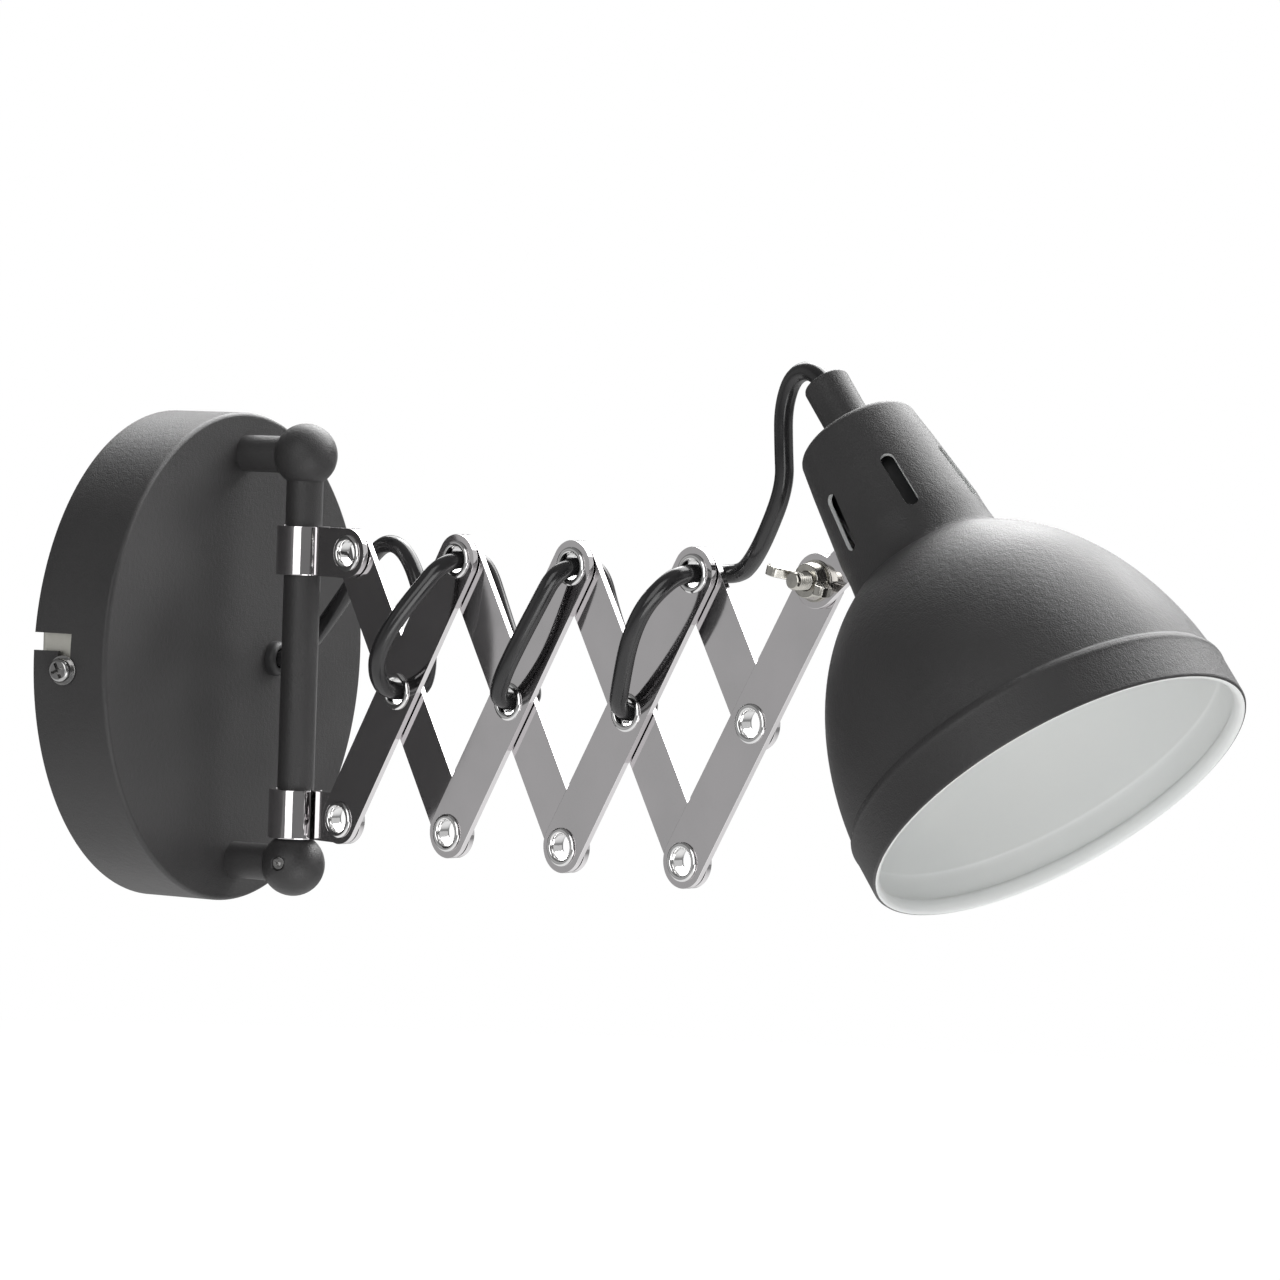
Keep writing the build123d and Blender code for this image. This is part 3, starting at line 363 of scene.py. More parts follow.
    @staticmethod
    def from_node(node: str, name: str, flat: bool = True) -> Object:
        """Merged copy of a drawn node, with its flat faces cleared of their triangles."""
        Bench.clear()
        source = bpy.data.objects[node]
        piece = bpy.data.objects.new(name, source.data.copy())
        piece.data.name = name
        bpy.context.scene.collection.objects.link(piece)
        piece.data.materials.clear()
        Bench.edit(piece)
        bpy.ops.mesh.customdata_custom_splitnormals_clear()
        bpy.ops.mesh.remove_doubles(threshold=1e-6)
        if flat:
            bpy.ops.mesh.dissolve_limited(angle_limit=math.radians(0.5))
        bpy.ops.object.mode_set(mode="OBJECT")
        return piece

    @staticmethod
    def smooth(piece: Object, angle: float = 35.0) -> Object:
        """Smooth shading up to an angle between faces, in degrees, with large faces left flat."""
        Bench.pick(piece)
        bpy.ops.object.shade_smooth_by_angle(angle=math.radians(angle))
        even = piece.modifiers.new("even", "WEIGHTED_NORMAL")
        even.mode, even.weight, even.keep_sharp = "FACE_AREA", 100, True
        bpy.ops.object.modifier_apply(modifier=even.name)
        return piece


class Outfit:
    """Dresses pieces, hangs them on their bodies and reports them."""

    @staticmethod
    def dress(piece: Object, material: Material) -> Object:
        """Gives a piece one material."""
        piece.data.materials.clear()
        piece.data.materials.append(material)
        return piece

    @staticmethod
    def hang(piece: Object, body: str, slot: str, *nodes: str) -> Object:
        """Hangs a dressed piece on its body and reports it.

        Args:
            piece: The piece, in its place and with its materials.
            body: The body that it moves with.
            slot: The record's slot for its finish; not used.
            nodes: The drawn nodes that it stands for.

        Returns:
            The same piece.
        """
        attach(piece, body)
        if nodes:
            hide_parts(*nodes)
        stands_for = ", ".join(nodes) or "nothing"
        log.info("%s rides on %s and stands for %s", piece.name, body, stands_for)
        return piece

    @staticmethod
    def fit(piece: Object, body: str, material: Material, slot: str, *nodes: str) -> Object:
        """Finishes a piece: material, body and the drawn nodes it stands for.

        Args:
            piece: The piece, in its place.
            body: The body that it moves with.
            material: Its material.
            slot: The record's slot for its finish; not used.
            nodes: The drawn nodes that it stands for.

        Returns:
            The same piece.
        """
        Outfit.dress(piece, material)
        return Outfit.hang(piece, body, slot, *nodes)

    @staticmethod
    def keep(material: Material, *nodes: str) -> None:
        """Gives drawn nodes that keep their shape a better material."""
        for node in nodes:
            slots = bpy.data.objects[node].data.materials
            slots.clear()
            slots.append(material)
            log.info("%s keeps its shape in %s", node, material.name)


class Nodes:
    """A shader node tree, with short ways to add and join nodes."""

    def __init__(self, tree: NodeTree) -> None:
        """Takes the tree and empties it."""
        self.tree = tree
        tree.nodes.clear()

    def add(self, kind: str, **values: object) -> bpy.types.Node:
        """Adds a node.

        Args:
            kind: The node's type.
            values: Attributes of the node, or inputs named with spaces as underscores.

        Returns:
            The node.
        """
        node = self.tree.nodes.new(kind)
        for key, value in values.items():
            label = key.replace("_", " ")
            if hasattr(node, key):
                setattr(node, key, value)
            elif isinstance(value, Socket):
                self.tree.links.new(value, node.inputs[label])
            else:
                node.inputs[label].default_value = value
        return node

    def link(self, source: Socket, target: Socket) -> None:
        """Joins two sockets."""
        self.tree.links.new(source, target)

    def mix(self, kind: Mix, factor: Socket, first: object, second: object) -> Socket:
        """Goes from one colour, number or shader to another by a factor.

        Args:
            kind: What is mixed.
            factor: 0 for the first one, 1 for the second.
            first: A socket or a plain value.
            second: A socket or a plain value.

        Returns:
            The mixed result.
        """
        node_type, data_type, low, high, result = kind.value
        node = self.add(node_type, **({"data_type": data_type} if data_type else {}))
        for index, given in ((0, factor), (low, first), (high, second)):
            if isinstance(given, Socket):
                self.link(given, node.inputs[index])
            else:
                node.inputs[index].default_value = given
        return node.outputs[result]

    def noise(self, scale: float | Socket, detail: float = 3.0) -> Socket:
        """Noise over the object's own coordinates.

        Args:
            scale: Cells for each metre.
            detail: Finer layers of noise.

        Returns:
            The noise value.
        """
        place = self.add("ShaderNodeTexCoord").outputs["Object"]
        noise = self.add("ShaderNodeTexNoise", Vector=place, Scale=scale, Detail=detail)
        return noise.outputs["Fac"]

    def spread(self, value: Socket, low: float, high: float) -> Socket:
        """Stretches the middle of a noise value over 0 to 1."""
        spread = self.add("ShaderNodeMapRange", Value=value, From_Min=low, From_Max=high)
        return spread.outputs["Result"]


class SharedEffects:
    """Node groups that several finishes use."""

    @staticmethod
    def _group(
        name: str, inputs: dict[str, tuple[str, object]], outputs: dict[str, str],
    ) -> NodeTree:
        """Empty node group with its sockets.

        Args:
            name: Name of the group.
            inputs: Socket type and default value of each input.
            outputs: Socket type of each output.

        Returns:
            The group.
        """
        group = bpy.data.node_groups.new(name, "ShaderNodeTree")
        for label, (kind, value) in inputs.items():
            socket = group.interface.new_socket(label, in_out="INPUT", socket_type=kind)
            socket.default_value = value
        for label, kind in outputs.items():
            group.interface.new_socket(label, in_out="OUTPUT", socket_type=kind)
        return group

    @staticmethod
    def mottle() -> NodeTree:
        """Two colours and two roughnesses that drift into each other, as handling leaves them."""
        found = bpy.data.node_groups.get("mottle")
        if found:
            return found
        group = SharedEffects._group(
            "mottle",
            {
                "Main": ("NodeSocketColor", (0.5, 0.5, 0.5, 1)),
                "Drift": ("NodeSocketColor", (0.4, 0.4, 0.4, 1)),
                "Smooth": ("NodeSocketFloat", 0.3),
                "Rough": ("NodeSocketFloat", 0.5),
                "Scale": ("NodeSocketFloat", 30.0),
            },
            {"Color": "NodeSocketColor", "Roughness": "NodeSocketFloat"},
        )
        nodes = Nodes(group)
        given = nodes.add("NodeGroupInput")
        patches = nodes.spread(nodes.noise(given.outputs["Scale"], 4.0), 0.35, 0.65)
        main, drift, smooth, rough = list(given.outputs)[:4]
        result = nodes.add("NodeGroupOutput")
        nodes.link(nodes.mix(Mix.COLOUR, patches, main, drift), result.inputs["Color"])
        nodes.link(nodes.mix(Mix.NUMBER, patches, smooth, rough), result.inputs["Roughness"])
        return group

    @staticmethod
    def grain() -> NodeTree:
        """Height of a fine even grain, such as powder coat or moulded plastic has."""
        found = bpy.data.node_groups.get("grain")
        if found:
            return found
        group = SharedEffects._group(
            "grain",
            {
                "Fine": ("NodeSocketFloat", 2000.0),
                "Broad": ("NodeSocketFloat", 500.0),
                "Share": ("NodeSocketFloat", 0.4),
            },
            {"Height": "NodeSocketFloat"},
        )
        nodes = Nodes(group)
        given = nodes.add("NodeGroupInput")
        fine = nodes.noise(given.outputs["Fine"], 2.0)
        broad = nodes.noise(given.outputs["Broad"], 1.0)
        height = nodes.mix(Mix.NUMBER, given.outputs["Share"], fine, broad)
        nodes.link(height, nodes.add("NodeGroupOutput").inputs["Height"])
        return group


@dataclass(frozen=True)
class Finish:
    """A surface finish, made once as a material."""

    name: str
    slot: str
    main: Colour
    drift: Colour
    smooth: float
    rough: float
    patch_scale: float
    grain_scale: float
    grain_depth: float
    metallic: float = 0.0
    coat: float = 0.0
    specular: float = 0.5

    def material(self) -> Material:
        """Builds the material, or finds it if it was built before.

        Returns:
            The material.
        """
        found = bpy.data.materials.get(self.name)
        if found:
            return found
        material = bpy.data.materials.new(self.name)
        material.use_nodes = True
        nodes = Nodes(material.node_tree)
        mottle = nodes.add("ShaderNodeGroup", node_tree=SharedEffects.mottle())
        mottle.inputs["Main"].default_value = (*self.main, 1)
        mottle.inputs["Drift"].default_value = (*self.drift, 1)
        mottle.inputs["Smooth"].default_value = self.smooth
        mottle.inputs["Rough"].default_value = self.rough
        mottle.inputs["Scale"].default_value = self.patch_scale
        grain = nodes.add("ShaderNodeGroup", node_tree=SharedEffects.grain())
        grain.inputs["Fine"].default_value = self.grain_scale
        grain.inputs["Broad"].default_value = self.grain_scale / 4
        bump = nodes.add("ShaderNodeBump", Strength=1.0, Distance=self.grain_depth)
        nodes.link(grain.outputs["Height"], bump.inputs["Height"])
        shader = nodes.add("ShaderNodeBsdfPrincipled")
        shader.inputs["Metallic"].default_value = self.metallic
        shader.inputs["Specular IOR Level"].default_value = self.specular
        shader.inputs["Coat Weight"].default_value = self.coat
        shader.inputs["Coat Roughness"].default_value = self.smooth
        nodes.link(mottle.outputs["Color"], shader.inputs["Base Color"])
        nodes.link(mottle.outputs["Roughness"], shader.inputs["Roughness"])
        nodes.link(bump.outputs["Normal"], shader.inputs["Normal"])
        output = nodes.add("ShaderNodeOutputMaterial")
        nodes.link(shader.outputs["BSDF"], output.inputs["Surface"])
        return material


POWDER = Finish(
    "anthracite_powder", "black_coat", main=(0.034, 0.033, 0.0335), drift=(0.040, 0.039, 0.0395),
    smooth=0.43, rough=0.51, patch_scale=40.0,
    grain_scale=3000.0, grain_depth=0.00016, specular=0.45,
)
SHADE_INSIDE = Finish(
    "white_enamel", "black_coat", main=(0.84, 0.85, 0.84), drift=(0.81, 0.825, 0.82),
    smooth=0.34, rough=0.42, patch_scale=25.0,
    grain_scale=1500.0, grain_depth=0.00001,
)
CHROME = Finish(
    "chrome_plate", "chrome", main=(0.72, 0.70, 0.71), drift=(0.68, 0.665, 0.672),
    smooth=0.05, rough=0.09, patch_scale=60.0,
    grain_scale=900.0, grain_depth=0.0000012, metallic=1.0,
)
EYELET_CHROME = Finish(
    "eyelet_chrome", "rivet_chrome", main=(0.80, 0.795, 0.79), drift=(0.70, 0.70, 0.70),
    smooth=0.07, rough=0.13, patch_scale=300.0,
    grain_scale=1800.0, grain_depth=0.000003, metallic=1.0,
)
NICKEL = Finish(
    "satin_nickel", "nickel", main=(0.56, 0.545, 0.50), drift=(0.44, 0.43, 0.40),
    smooth=0.16, rough=0.28, patch_scale=350.0,
    grain_scale=1500.0, grain_depth=0.000012, metallic=1.0,
)
STEEL = Finish(
    "plated_steel", "steel", main=(0.46, 0.455, 0.45), drift=(0.36, 0.36, 0.36),
    smooth=0.14, rough=0.26, patch_scale=300.0,
    grain_scale=1600.0, grain_depth=0.00001, metallic=1.0,
)
ZINC = Finish(
    "pale_zinc", "zinc", main=(0.80, 0.785, 0.72), drift=(0.70, 0.69, 0.63),
    smooth=0.28, rough=0.42, patch_scale=160.0,
    grain_scale=700.0, grain_depth=0.00001, metallic=0.9,
)
SHEATH = Finish(
    "cable_sheath", "cable", main=(0.020, 0.020, 0.021), drift=(0.027, 0.026, 0.027),
    smooth=0.15, rough=0.22, patch_scale=120.0,
    grain_scale=1500.0, grain_depth=0.00001,
)
BLACK_NYLON = Finish(
    "black_nylon", "black_plastic", main=(0.022, 0.022, 0.023), drift=(0.028, 0.028, 0.029),
    smooth=0.42, rough=0.52, patch_scale=120.0,
    grain_scale=1400.0, grain_depth=0.00002,
)
WHITE_PLASTIC = Finish(
    "white_plastic", "white_plastic", main=(0.74, 0.73, 0.70), drift=(0.70, 0.69, 0.66),
    smooth=0.36, rough=0.46, patch_scale=90.0,
    grain_scale=1400.0, grain_depth=0.00001,
)
BRASS = Finish(
    "plain_brass", "brass", main=(0.70, 0.55, 0.28), drift=(0.60, 0.46, 0.24),
    smooth=0.22, rough=0.34, patch_scale=300.0,
    grain_scale=1600.0, grain_depth=0.00001, metallic=1.0,
)


@dataclass
class Screw:
    """Pan head screw with a driver recess, standing on Z = 0 with its shank below."""

    shank_r: float
    head_r: float
    head_h: float
    length: float
    recess: Recess = Recess.CROSS
    recess_w: float = 0.85
    recess_depth: float = 0.8
    recess_reach: float = 0.66
    edge_share: float = 0.38
    crown_share: float = 0.32

    def build(self, name: str, place: Matrix) -> Object:
        """Turns the screw, cuts its recess and puts it in place.

        Args:
            name: Name of the piece.
            place: Matrix from millimetres to the row frame.

        Returns:
            The screw.
        """
        head_r, head_h = self.head_r, self.head_h
        profile = [(self.shank_r * 0.55, -self.length)]
        profile.append((self.shank_r, -self.length + self.shank_r * 0.5))
        profile += [(self.shank_r, 0.0), (head_r, 0.0), (head_r, head_h * self.edge_share)]
        for step in range(1, 6):
            turn = math.radians(18 * step)
            radius = head_r - head_r * self.crown_share * (1 - math.cos(turn))
            rise = self.edge_share + (1 - self.edge_share) * math.sin(turn) ** 0.8
            profile.append((radius, head_h * rise))
        profile.append((head_r * 0.25, head_h))
        screw = Bench.turned(name, profile, 40)
        reach = head_r * self.recess_reach
        half = self.recess_w / 2
        top = head_h * 1.3
        floor = head_h * (1 - self.recess_depth)
        cutters = [Bench.block("cut", Vector((-reach, -half, floor)), Vector((reach, half, top)))]
        if self.recess is Recess.CROSS:
            cutters.append(
                Bench.block("cut", Vector((-half, -reach, floor)), Vector((half, reach, top)))
            )
        for cutter in cutters:
            Bench.carve(screw, cutter)
        Bench.smooth(screw, 30)
        return Bench.place(screw, place)


@dataclass
class Canopy:
    """Sheet cup on the wall, its bracket, screws, washers, bush and wiring."""

    radius: float = 60.0
    depth: float = 20.0
    wall: float = 1.0
    edge_r: float = 1.1
    post_rise: float = 50.0
    bush_x: float = 16.0
    bush_z: float = -0.8
    lock_depth: float = 8.5
    lock_drop: float = 2.3
    notch_lane: float = 3.4
    notch_entry_w: float = 4.2
    notch_entry_rise: float = 4.2
    notch_inner: float = 55.0
    notch_outer: float = 62.0
    flat_r: float = 10.0
    earth_x: float = 25.0
    earth_lift: float = 1.5

    def place(self, x: float, z: float) -> Matrix:
        """Place on the canopy's axis direction: Z out from the wall.

        Args:
            x: Distance to the right of the middle.
            z: Height above the middle.

        Returns:
            A matrix that takes millimetres to the row frame.
        """
        seat = Matrix.Translation((x * MM, 0, z * MM))
        return seat @ Bench.spin(90, "X") @ TO_METRES

    def cup(self) -> Object:
        """Turns the cup and cuts its two notches."""
        inner = self.radius - self.wall
        profile = [(self.flat_r, self.depth), (self.radius * 0.6, self.depth)]
        for step in range(9):
            turn = math.radians(90 - 90 * step / 8)
            profile.append((
                self.radius - self.edge_r + self.edge_r * math.cos(turn),
                self.depth - self.edge_r + self.edge_r * math.sin(turn),
            ))
        profile += [(self.radius, 0.0), (inner, 0.0)]
        for step in range(9):
            turn = math.radians(90 * step / 8)
            level = self.depth - self.wall - 1.0 + math.sin(turn)
            profile.append((inner - 1.0 + math.cos(turn), level))
        profile += [(inner * 0.6, self.depth - self.wall), (self.flat_r, self.depth - self.wall)]
        cup = Bench.turned("canopy_cup", profile, 192)
        for end in (-1, 1):
            for cutter in self.notch_cutters(end):
                Bench.carve(cup, cutter)
        Bench.smooth(cup, 30)
        return Bench.place(cup, self.place(0, 0))

    def notch_cutters(self, end: int) -> list[Object]:
        """Cutters for one notch: the way in from the rim, and the lane that the screw locks in.

        Args:
            end: 1 for the right side of the canopy, -1 for the left.

        Returns:
            The two cutters, in millimetres.
        """
        lane, entry, rise = self.notch_lane / 2, self.notch_entry_w / 2, self.notch_entry_rise
        cutters = []
        for low, high, deep in (
            (rise - entry, rise + entry, -1.0),
            (-self.lock_drop - lane, rise, self.lock_depth - lane),
        ):
            heights = sorted((end * low, end * high))
            sides = sorted((end * self.notch_inner, end * self.notch_outer))
            near = Vector((sides[0], heights[0], deep))
            far = Vector((sides[1], heights[1], self.lock_depth + lane))
            cutter = Bench.block("cut", near, far)
            Bench.place(cutter, Matrix.Scale(-1, 4, (0, 1, 0)))
            Bench.edit(cutter)
            bpy.ops.mesh.normals_make_consistent(inside=False)
            Bench.clear()
            cutters.append(cutter)
        return cutters

    def bush(self) -> Object:
        """Low round grommet that the cable comes out of."""
        profile = [
            (2.35, 14.2), (3.4, 14.2), (3.5, 15.0), (3.5, 19.9), (4.35, 20.0), (4.4, 20.5),
            (4.38, 21.2),
        ]
        profile += [
            (4.15, 21.8), (3.75, 22.25), (3.25, 22.4), (2.75, 22.35), (2.45, 22.1), (2.35, 21.6),
        ]
        bush = Bench.turned("cable_grommet", profile, 48, closed=True)
        Bench.smooth(bush, 50)
        return Bench.place(bush, self.place(self.bush_x, self.bush_z))

    def screws(self) -> list[tuple[Object, str]]:
        """Locking, post and earth screws.

        Returns:
            Each screw group with the node it stands for.
        """
        lock_screw = Screw(shank_r=1.5, head_r=2.9, head_h=2.0, length=7.0)
        post_screw = Screw(shank_r=2.0, head_r=3.8, head_h=2.6, length=10.6)
        lock, posts = [], []
        for end in (-1, 1):
            turn = Bench.spin(90 * end, "Y") @ Bench.spin(25, "Z")
            seat = Vector((end * (self.radius + 0.6), -self.lock_depth, end * self.lock_drop)) * MM
            place = Matrix.Translation(seat) @ turn @ TO_METRES
            lock.append(lock_screw.build(f"lock_screw_{end}", place))
            inner = Vector((0, -(self.depth - self.wall - 0.6), end * self.post_rise)) * MM
            turn = Bench.spin(-90, "X")
            place = Matrix.Translation(inner) @ turn @ TO_METRES
            posts.append(post_screw.build(f"post_screw_{end}", place))
        seat = self.place(self.earth_x, 0) @ Matrix.Translation((0, 0, self.earth_lift))
        earth_screw = Screw(shank_r=2.0, head_r=3.8, head_h=2.6, length=1.5)
        earth = earth_screw.build("earth_screw_head", seat)
        return [
            (Bench.join(lock, "locking_screws"), "lock_screws"),
            (Bench.join(posts, "post_fixing_screws"), "post_screws"),
            (earth, "earth_screw"),
        ]

    def build(self) -> None:
        """Makes and dresses every piece on the wall."""
        Outfit.fit(self.cup(), "wall_stand", POWDER.material(), "black_coat", "canopy")
        Outfit.fit(self.bush(), "wall_stand", BLACK_NYLON.material(), "black_plastic", "cable_bush")
        for screw, node in self.screws():
            Outfit.fit(screw, "wall_stand", STEEL.material(), "steel", node)
        for node, name, finish in (
            ("wall_bracket", "bracket_strap", ZINC),
            ("lock_washers", "locking_washers", STEEL),
            ("post_washers", "post_fixing_washers", STEEL),
            ("bush_nut", "grommet_nut", BLACK_NYLON),
            ("terminal_block", "wire_block", WHITE_PLASTIC),
            ("grub_screw", "rod_grub_screw", STEEL),
        ):
            piece = Bench.ease(Bench.from_node(node, name), 0.00012)
            Bench.smooth(piece)
            Outfit.fit(piece, "wall_stand", finish.material(), finish.slot, node)
        Outfit.keep(STEEL.material(), "terminal_screws")


@dataclass
class Stand:
    """The two posts, their balls and the rod between them."""

    post_r: float = 4.5
    rod_r: float = 4.5
    ball_r: float = 7.75
    reach: float = 37.0
    rise: float = 50.0
    post_from: float = 20.0
    post_to: float = 32.1
    rod_half: float = 45.9

    def grub_hole(self) -> Object:
        """Cutter for the lower ball's tapped hole, on its left side."""
        cutter = Bench.turned("cut", [(1.6, 4.0), (1.6, 7.3), (1.95, 7.6), (2.3, 9.0)], 32)
        turn = Bench.spin(-90, "Y")
        seat = Vector((0, -self.reach, -self.rise + 0.8)) * MM
        return Bench.place(cutter, Matrix.Translation(seat) @ turn @ TO_METRES)

    def build(self) -> None:
        """Makes and dresses posts, balls and rod."""
        material = POWDER.material()
        posts, balls = [], []
        for end in (-1, 1):
            place = Matrix.Translation((0, 0, end * self.rise * MM))
            place = place @ Bench.spin(90, "X") @ TO_METRES
            profile = [(self.post_r, level) for level in (self.post_from, 24.0, self.post_to)]
            posts.append(Bench.place(Bench.turned(f"post_{end}", profile, 64), place))
            rings = []
            for step in range(1, 24):
                turn = math.radians(180 * step / 24 - 90)
                rings.append(
                    (self.ball_r * math.cos(turn), self.reach + self.ball_r * math.sin(turn))
                )
            ball = Bench.place(Bench.turned(f"ball_{end}", rings, 64), place)
            if end < 0:
                ball = Bench.carve(ball, self.grub_hole())
            balls.append(ball)
        posts_piece = Bench.smooth(Bench.join(posts, "stand_posts"))
        balls_piece = Bench.smooth(Bench.join(balls, "stand_balls"), 60)
        rod_place = Matrix.Translation((0, -self.reach * MM, 0)) @ TO_METRES
        levels = (-self.rod_half, 0.0, self.rod_half)
        rod = Bench.turned("swivel_rod", [(self.rod_r, level) for level in levels], 64)
        rod = Bench.smooth(Bench.place(rod, rod_place))
        Outfit.fit(posts_piece, "wall_stand", material, "black_coat", "posts")
        Outfit.fit(balls_piece, "wall_stand", material, "black_coat", "balls")
        Outfit.fit(rod, "wall_stand", material, "black_coat", "rod")


@dataclass
class Collar:
    """Strap bent round the rod, with a flat ear for the first pivot."""

    frame: ArmFrame
    height: float = 12.0
    bore_r: float = 4.6
    outer_r: float = 6.5
    thickness: float = 1.5
    slit: float = 0.8
    hole_r: float = 3.3

    def build(self, name: str, row: int, layer: Layer, body: str, node: str) -> None:
        """Makes the band and its ear as one piece.

        Args:
            name: Name of the piece.
            row: Row of the collar's pivot.
            layer: Layer of the ear.
            body: Body that the collar belongs to.
            node: Node that it stands for.
        """
        pivot = self.frame.pivot(0, row)
        half = self.height / 2
        rim = 0.35
        profile = [
            (self.bore_r + rim, -half), (self.outer_r - rim, -half),
            (self.outer_r - 0.1, -half + 0.1),
            (self.outer_r, -half + rim), (self.outer_r, half - rim),
            (self.outer_r - 0.1, half - 0.1),
            (self.outer_r - rim, half), (self.bore_r + rim, half), (self.bore_r, half - rim),
            (self.bore_r, -half + rim),
        ]
        band = Bench.turned("band", profile, 96, closed=True)
        side = -1 if layer is Layer.FRONT else 1
        ear_low = layer.value
        slit_low = ear_low - self.slit if side < 0 else ear_low + self.thickness
        cutter = Bench.block(
            "cut", Vector((2.0, slit_low, -half - 1)),
            Vector((9.0, slit_low + self.slit, half + 1)),
        )
        Bench.carve(band, cutter)
        axes = Matrix((self.frame.out, self.frame.side, Vector((0, 0, 1)))).transposed().to_4x4()
        place = Matrix.Translation(self.frame.point(0, pivot[1])) @ axes @ TO_METRES
        Bench.place(band, place)
        Bench.edit(band)
        bpy.ops.mesh.normals_make_consistent(inside=False)
        Bench.clear()
        reach = self.frame.ear_reach
        ear = Bench.stadium("ear", half, reach, self.thickness, 96)
        front_cut = Bench.block("cut", Vector((-9, -9, -3)), Vector((self.outer_r - 0.9, 9, 4)))
        Bench.carve(ear, front_cut)
        hole = Bench.turned("cut", [(self.hole_r, -3.0), (self.hole_r, 5.0)], 64)
        Bench.place(hole, Matrix.Translation((reach, 0, 0)))
        Bench.carve(ear, hole)
        Bench.ease(ear, 0.14, 2)
        Bench.place(ear, self.frame.strip_place((0, pivot[1]), layer.value, 0))
        piece = Bench.smooth(Bench.join([band, ear], name), 30)
        Outfit.fit(piece, body, CHROME.material(), "chrome", node)


@dataclass
class ScissorArm:
    """The strips and their eyelets."""

    frame: ArmFrame
    width: float = 12.0
    thickness: float = 1.5
    bore_r: float = 2.85
    flange_r: float = 4.4
    hole_r: float = 3.3
    bolt_hole_r: float = 2.05
    stack: float = 1.65
    play: float = 0.1

    def strip_blank(self, name: str, halves: int, holes: list[float]) -> Object:
        """Flat strip along X with its holes, edges eased.

        Args:
            name: Name of the piece.
            halves: Length in half strips, pivot to pivot.
            holes: Radius of the hole at each pivot.

        Returns:
            The strip, in millimetres.
        """
        length = halves * self.frame.half_strip
        strip = Bench.stadium(name, self.width / 2, length, self.thickness, 96)
        for place, radius in enumerate(holes):
            hole = Bench.turned("cut", [(radius, -2.0), (radius, 4.0)], 64)
            Bench.place(hole, Matrix.Translation((place * self.frame.half_strip, 0, 0)))
            Bench.carve(strip, hole)
        Bench.ease(strip, 0.13, 2)
        return Bench.smooth(strip, 30)

    def eyelet(self, name: str, in_front: bool) -> Object:
        """Hollow rivet with rolled flanges, turned about Z at the origin.

        Args:
            name: Name of the piece.
            in_front: True where the front layer carries it, so that the play is at the back.

        Returns:
            The eyelet, in millimetres.
        """
        front = self.stack + (0.0 if in_front else self.play)
        back = self.stack + (self.play if in_front else 0.0)
        roll = [
            (self.flange_r - 0.15, 0.0), (self.flange_r, 0.1), (self.flange_r + 0.03, 0.24),
            (self.flange_r - 0.06, 0.42), (self.flange_r - 0.24, 0.57),
            (self.flange_r - 0.47, 0.65),
            (self.flange_r - 0.72, 0.66), (self.flange_r - 0.95, 0.58), (self.bore_r + 0.42, 0.45),
            (self.bore_r + 0.26, 0.27), (self.bore_r + 0.12, 0.0), (self.bore_r + 0.03, -0.35),
            (self.bore_r, -0.75),
        ]
        profile = [(self.bore_r + 0.42, front - 0.3)]
        profile += [(radius, front + rise) for radius, rise in roll]
        profile += [(radius, -back - rise) for radius, rise in reversed(roll)]
        profile.append((self.bore_r + 0.42, -back + 0.3))
        eyelet = Bench.turned(name, profile, 64, closed=True)
        return Bench.smooth(eyelet, 60)

    def place_at(
        self, blank: Object, name: str, pivot: tuple[float, float], side: float, turn: float,
    ) -> Object:
        """Copy of a blank in its place on the arm."""
        return Bench.place(Bench.copy(blank, name), self.frame.strip_place(pivot, side, turn))

    def build(self) -> None:
        """Makes and dresses the seven full strips, the half strip and every eyelet."""
        frame, angle = self.frame, self.frame.strip_angle
        full = self.strip_blank("strip_blank", 2, [self.hole_r] * 3)
        end = self.strip_blank("end_strip_blank", 2, [self.hole_r] * 2 + [self.bolt_hole_r])
        half = self.strip_blank("half_strip_blank", 1, [self.hole_r] * 2)
        chrome = CHROME.material()
        for number in range(1, 5):
            blank = end if number == 4 else full
            low, high = frame.pivot(2 * number - 2, -1), frame.pivot(2 * number - 2, 1)
            name = f"rising_strip_{number}"
            piece = self.place_at(blank, name, low, Layer.FRONT.value, angle)
            Outfit.fit(piece, f"front_{number}", chrome, "chrome", f"front_strip_{number}")
            blank = half if number == 4 else full
            name = f"falling_strip_{number}"
            piece = self.place_at(blank, name, high, Layer.BACK.value, -angle)
            Outfit.fit(piece, f"back_{number}", chrome, "chrome", f"back_strip_{number}")
        front_eyelet = self.eyelet("front_eyelet_blank", True)
        back_eyelet = self.eyelet("back_eyelet_blank", False)
        sets = [
            ("lower_ear_eyelet", "swivel", "lower_collar_rivet", back_eyelet, [(0, -1)]),
            ("upper_ear_eyelet", "slider", "upper_collar_rivet", front_eyelet, [(0, 1)]),
            ("end_eyelet", "front_4", "front_rivet_4", front_eyelet, [(7, 0)]),
        ]
        for number in range(1, 4):
            middle, outer = 2 * number - 1, 2 * number
            sets += [
                (f"upper_eyelets_{number}", f"front_{number}", f"front_rivets_{number}",
                 front_eyelet, [(middle, 0), (outer, 1)]),
                (f"lower_eyelet_{number}", f"back_{number}", f"back_rivet_{number}",
                 back_eyelet, [(outer, -1)]),
            ]
        material = EYELET_CHROME.material()
        for name, body, node, blank, pivots in sets:
            copies = [self.place_at(blank, name, frame.pivot(*pivot), 0.0, 0.0) for pivot in pivots]
            Outfit.fit(Bench.join(copies, name), body, material, "rivet_chrome", node)
        for blank in (full, end, half, front_eyelet, back_eyelet):
            bpy.data.objects.remove(blank, do_unlink=True)


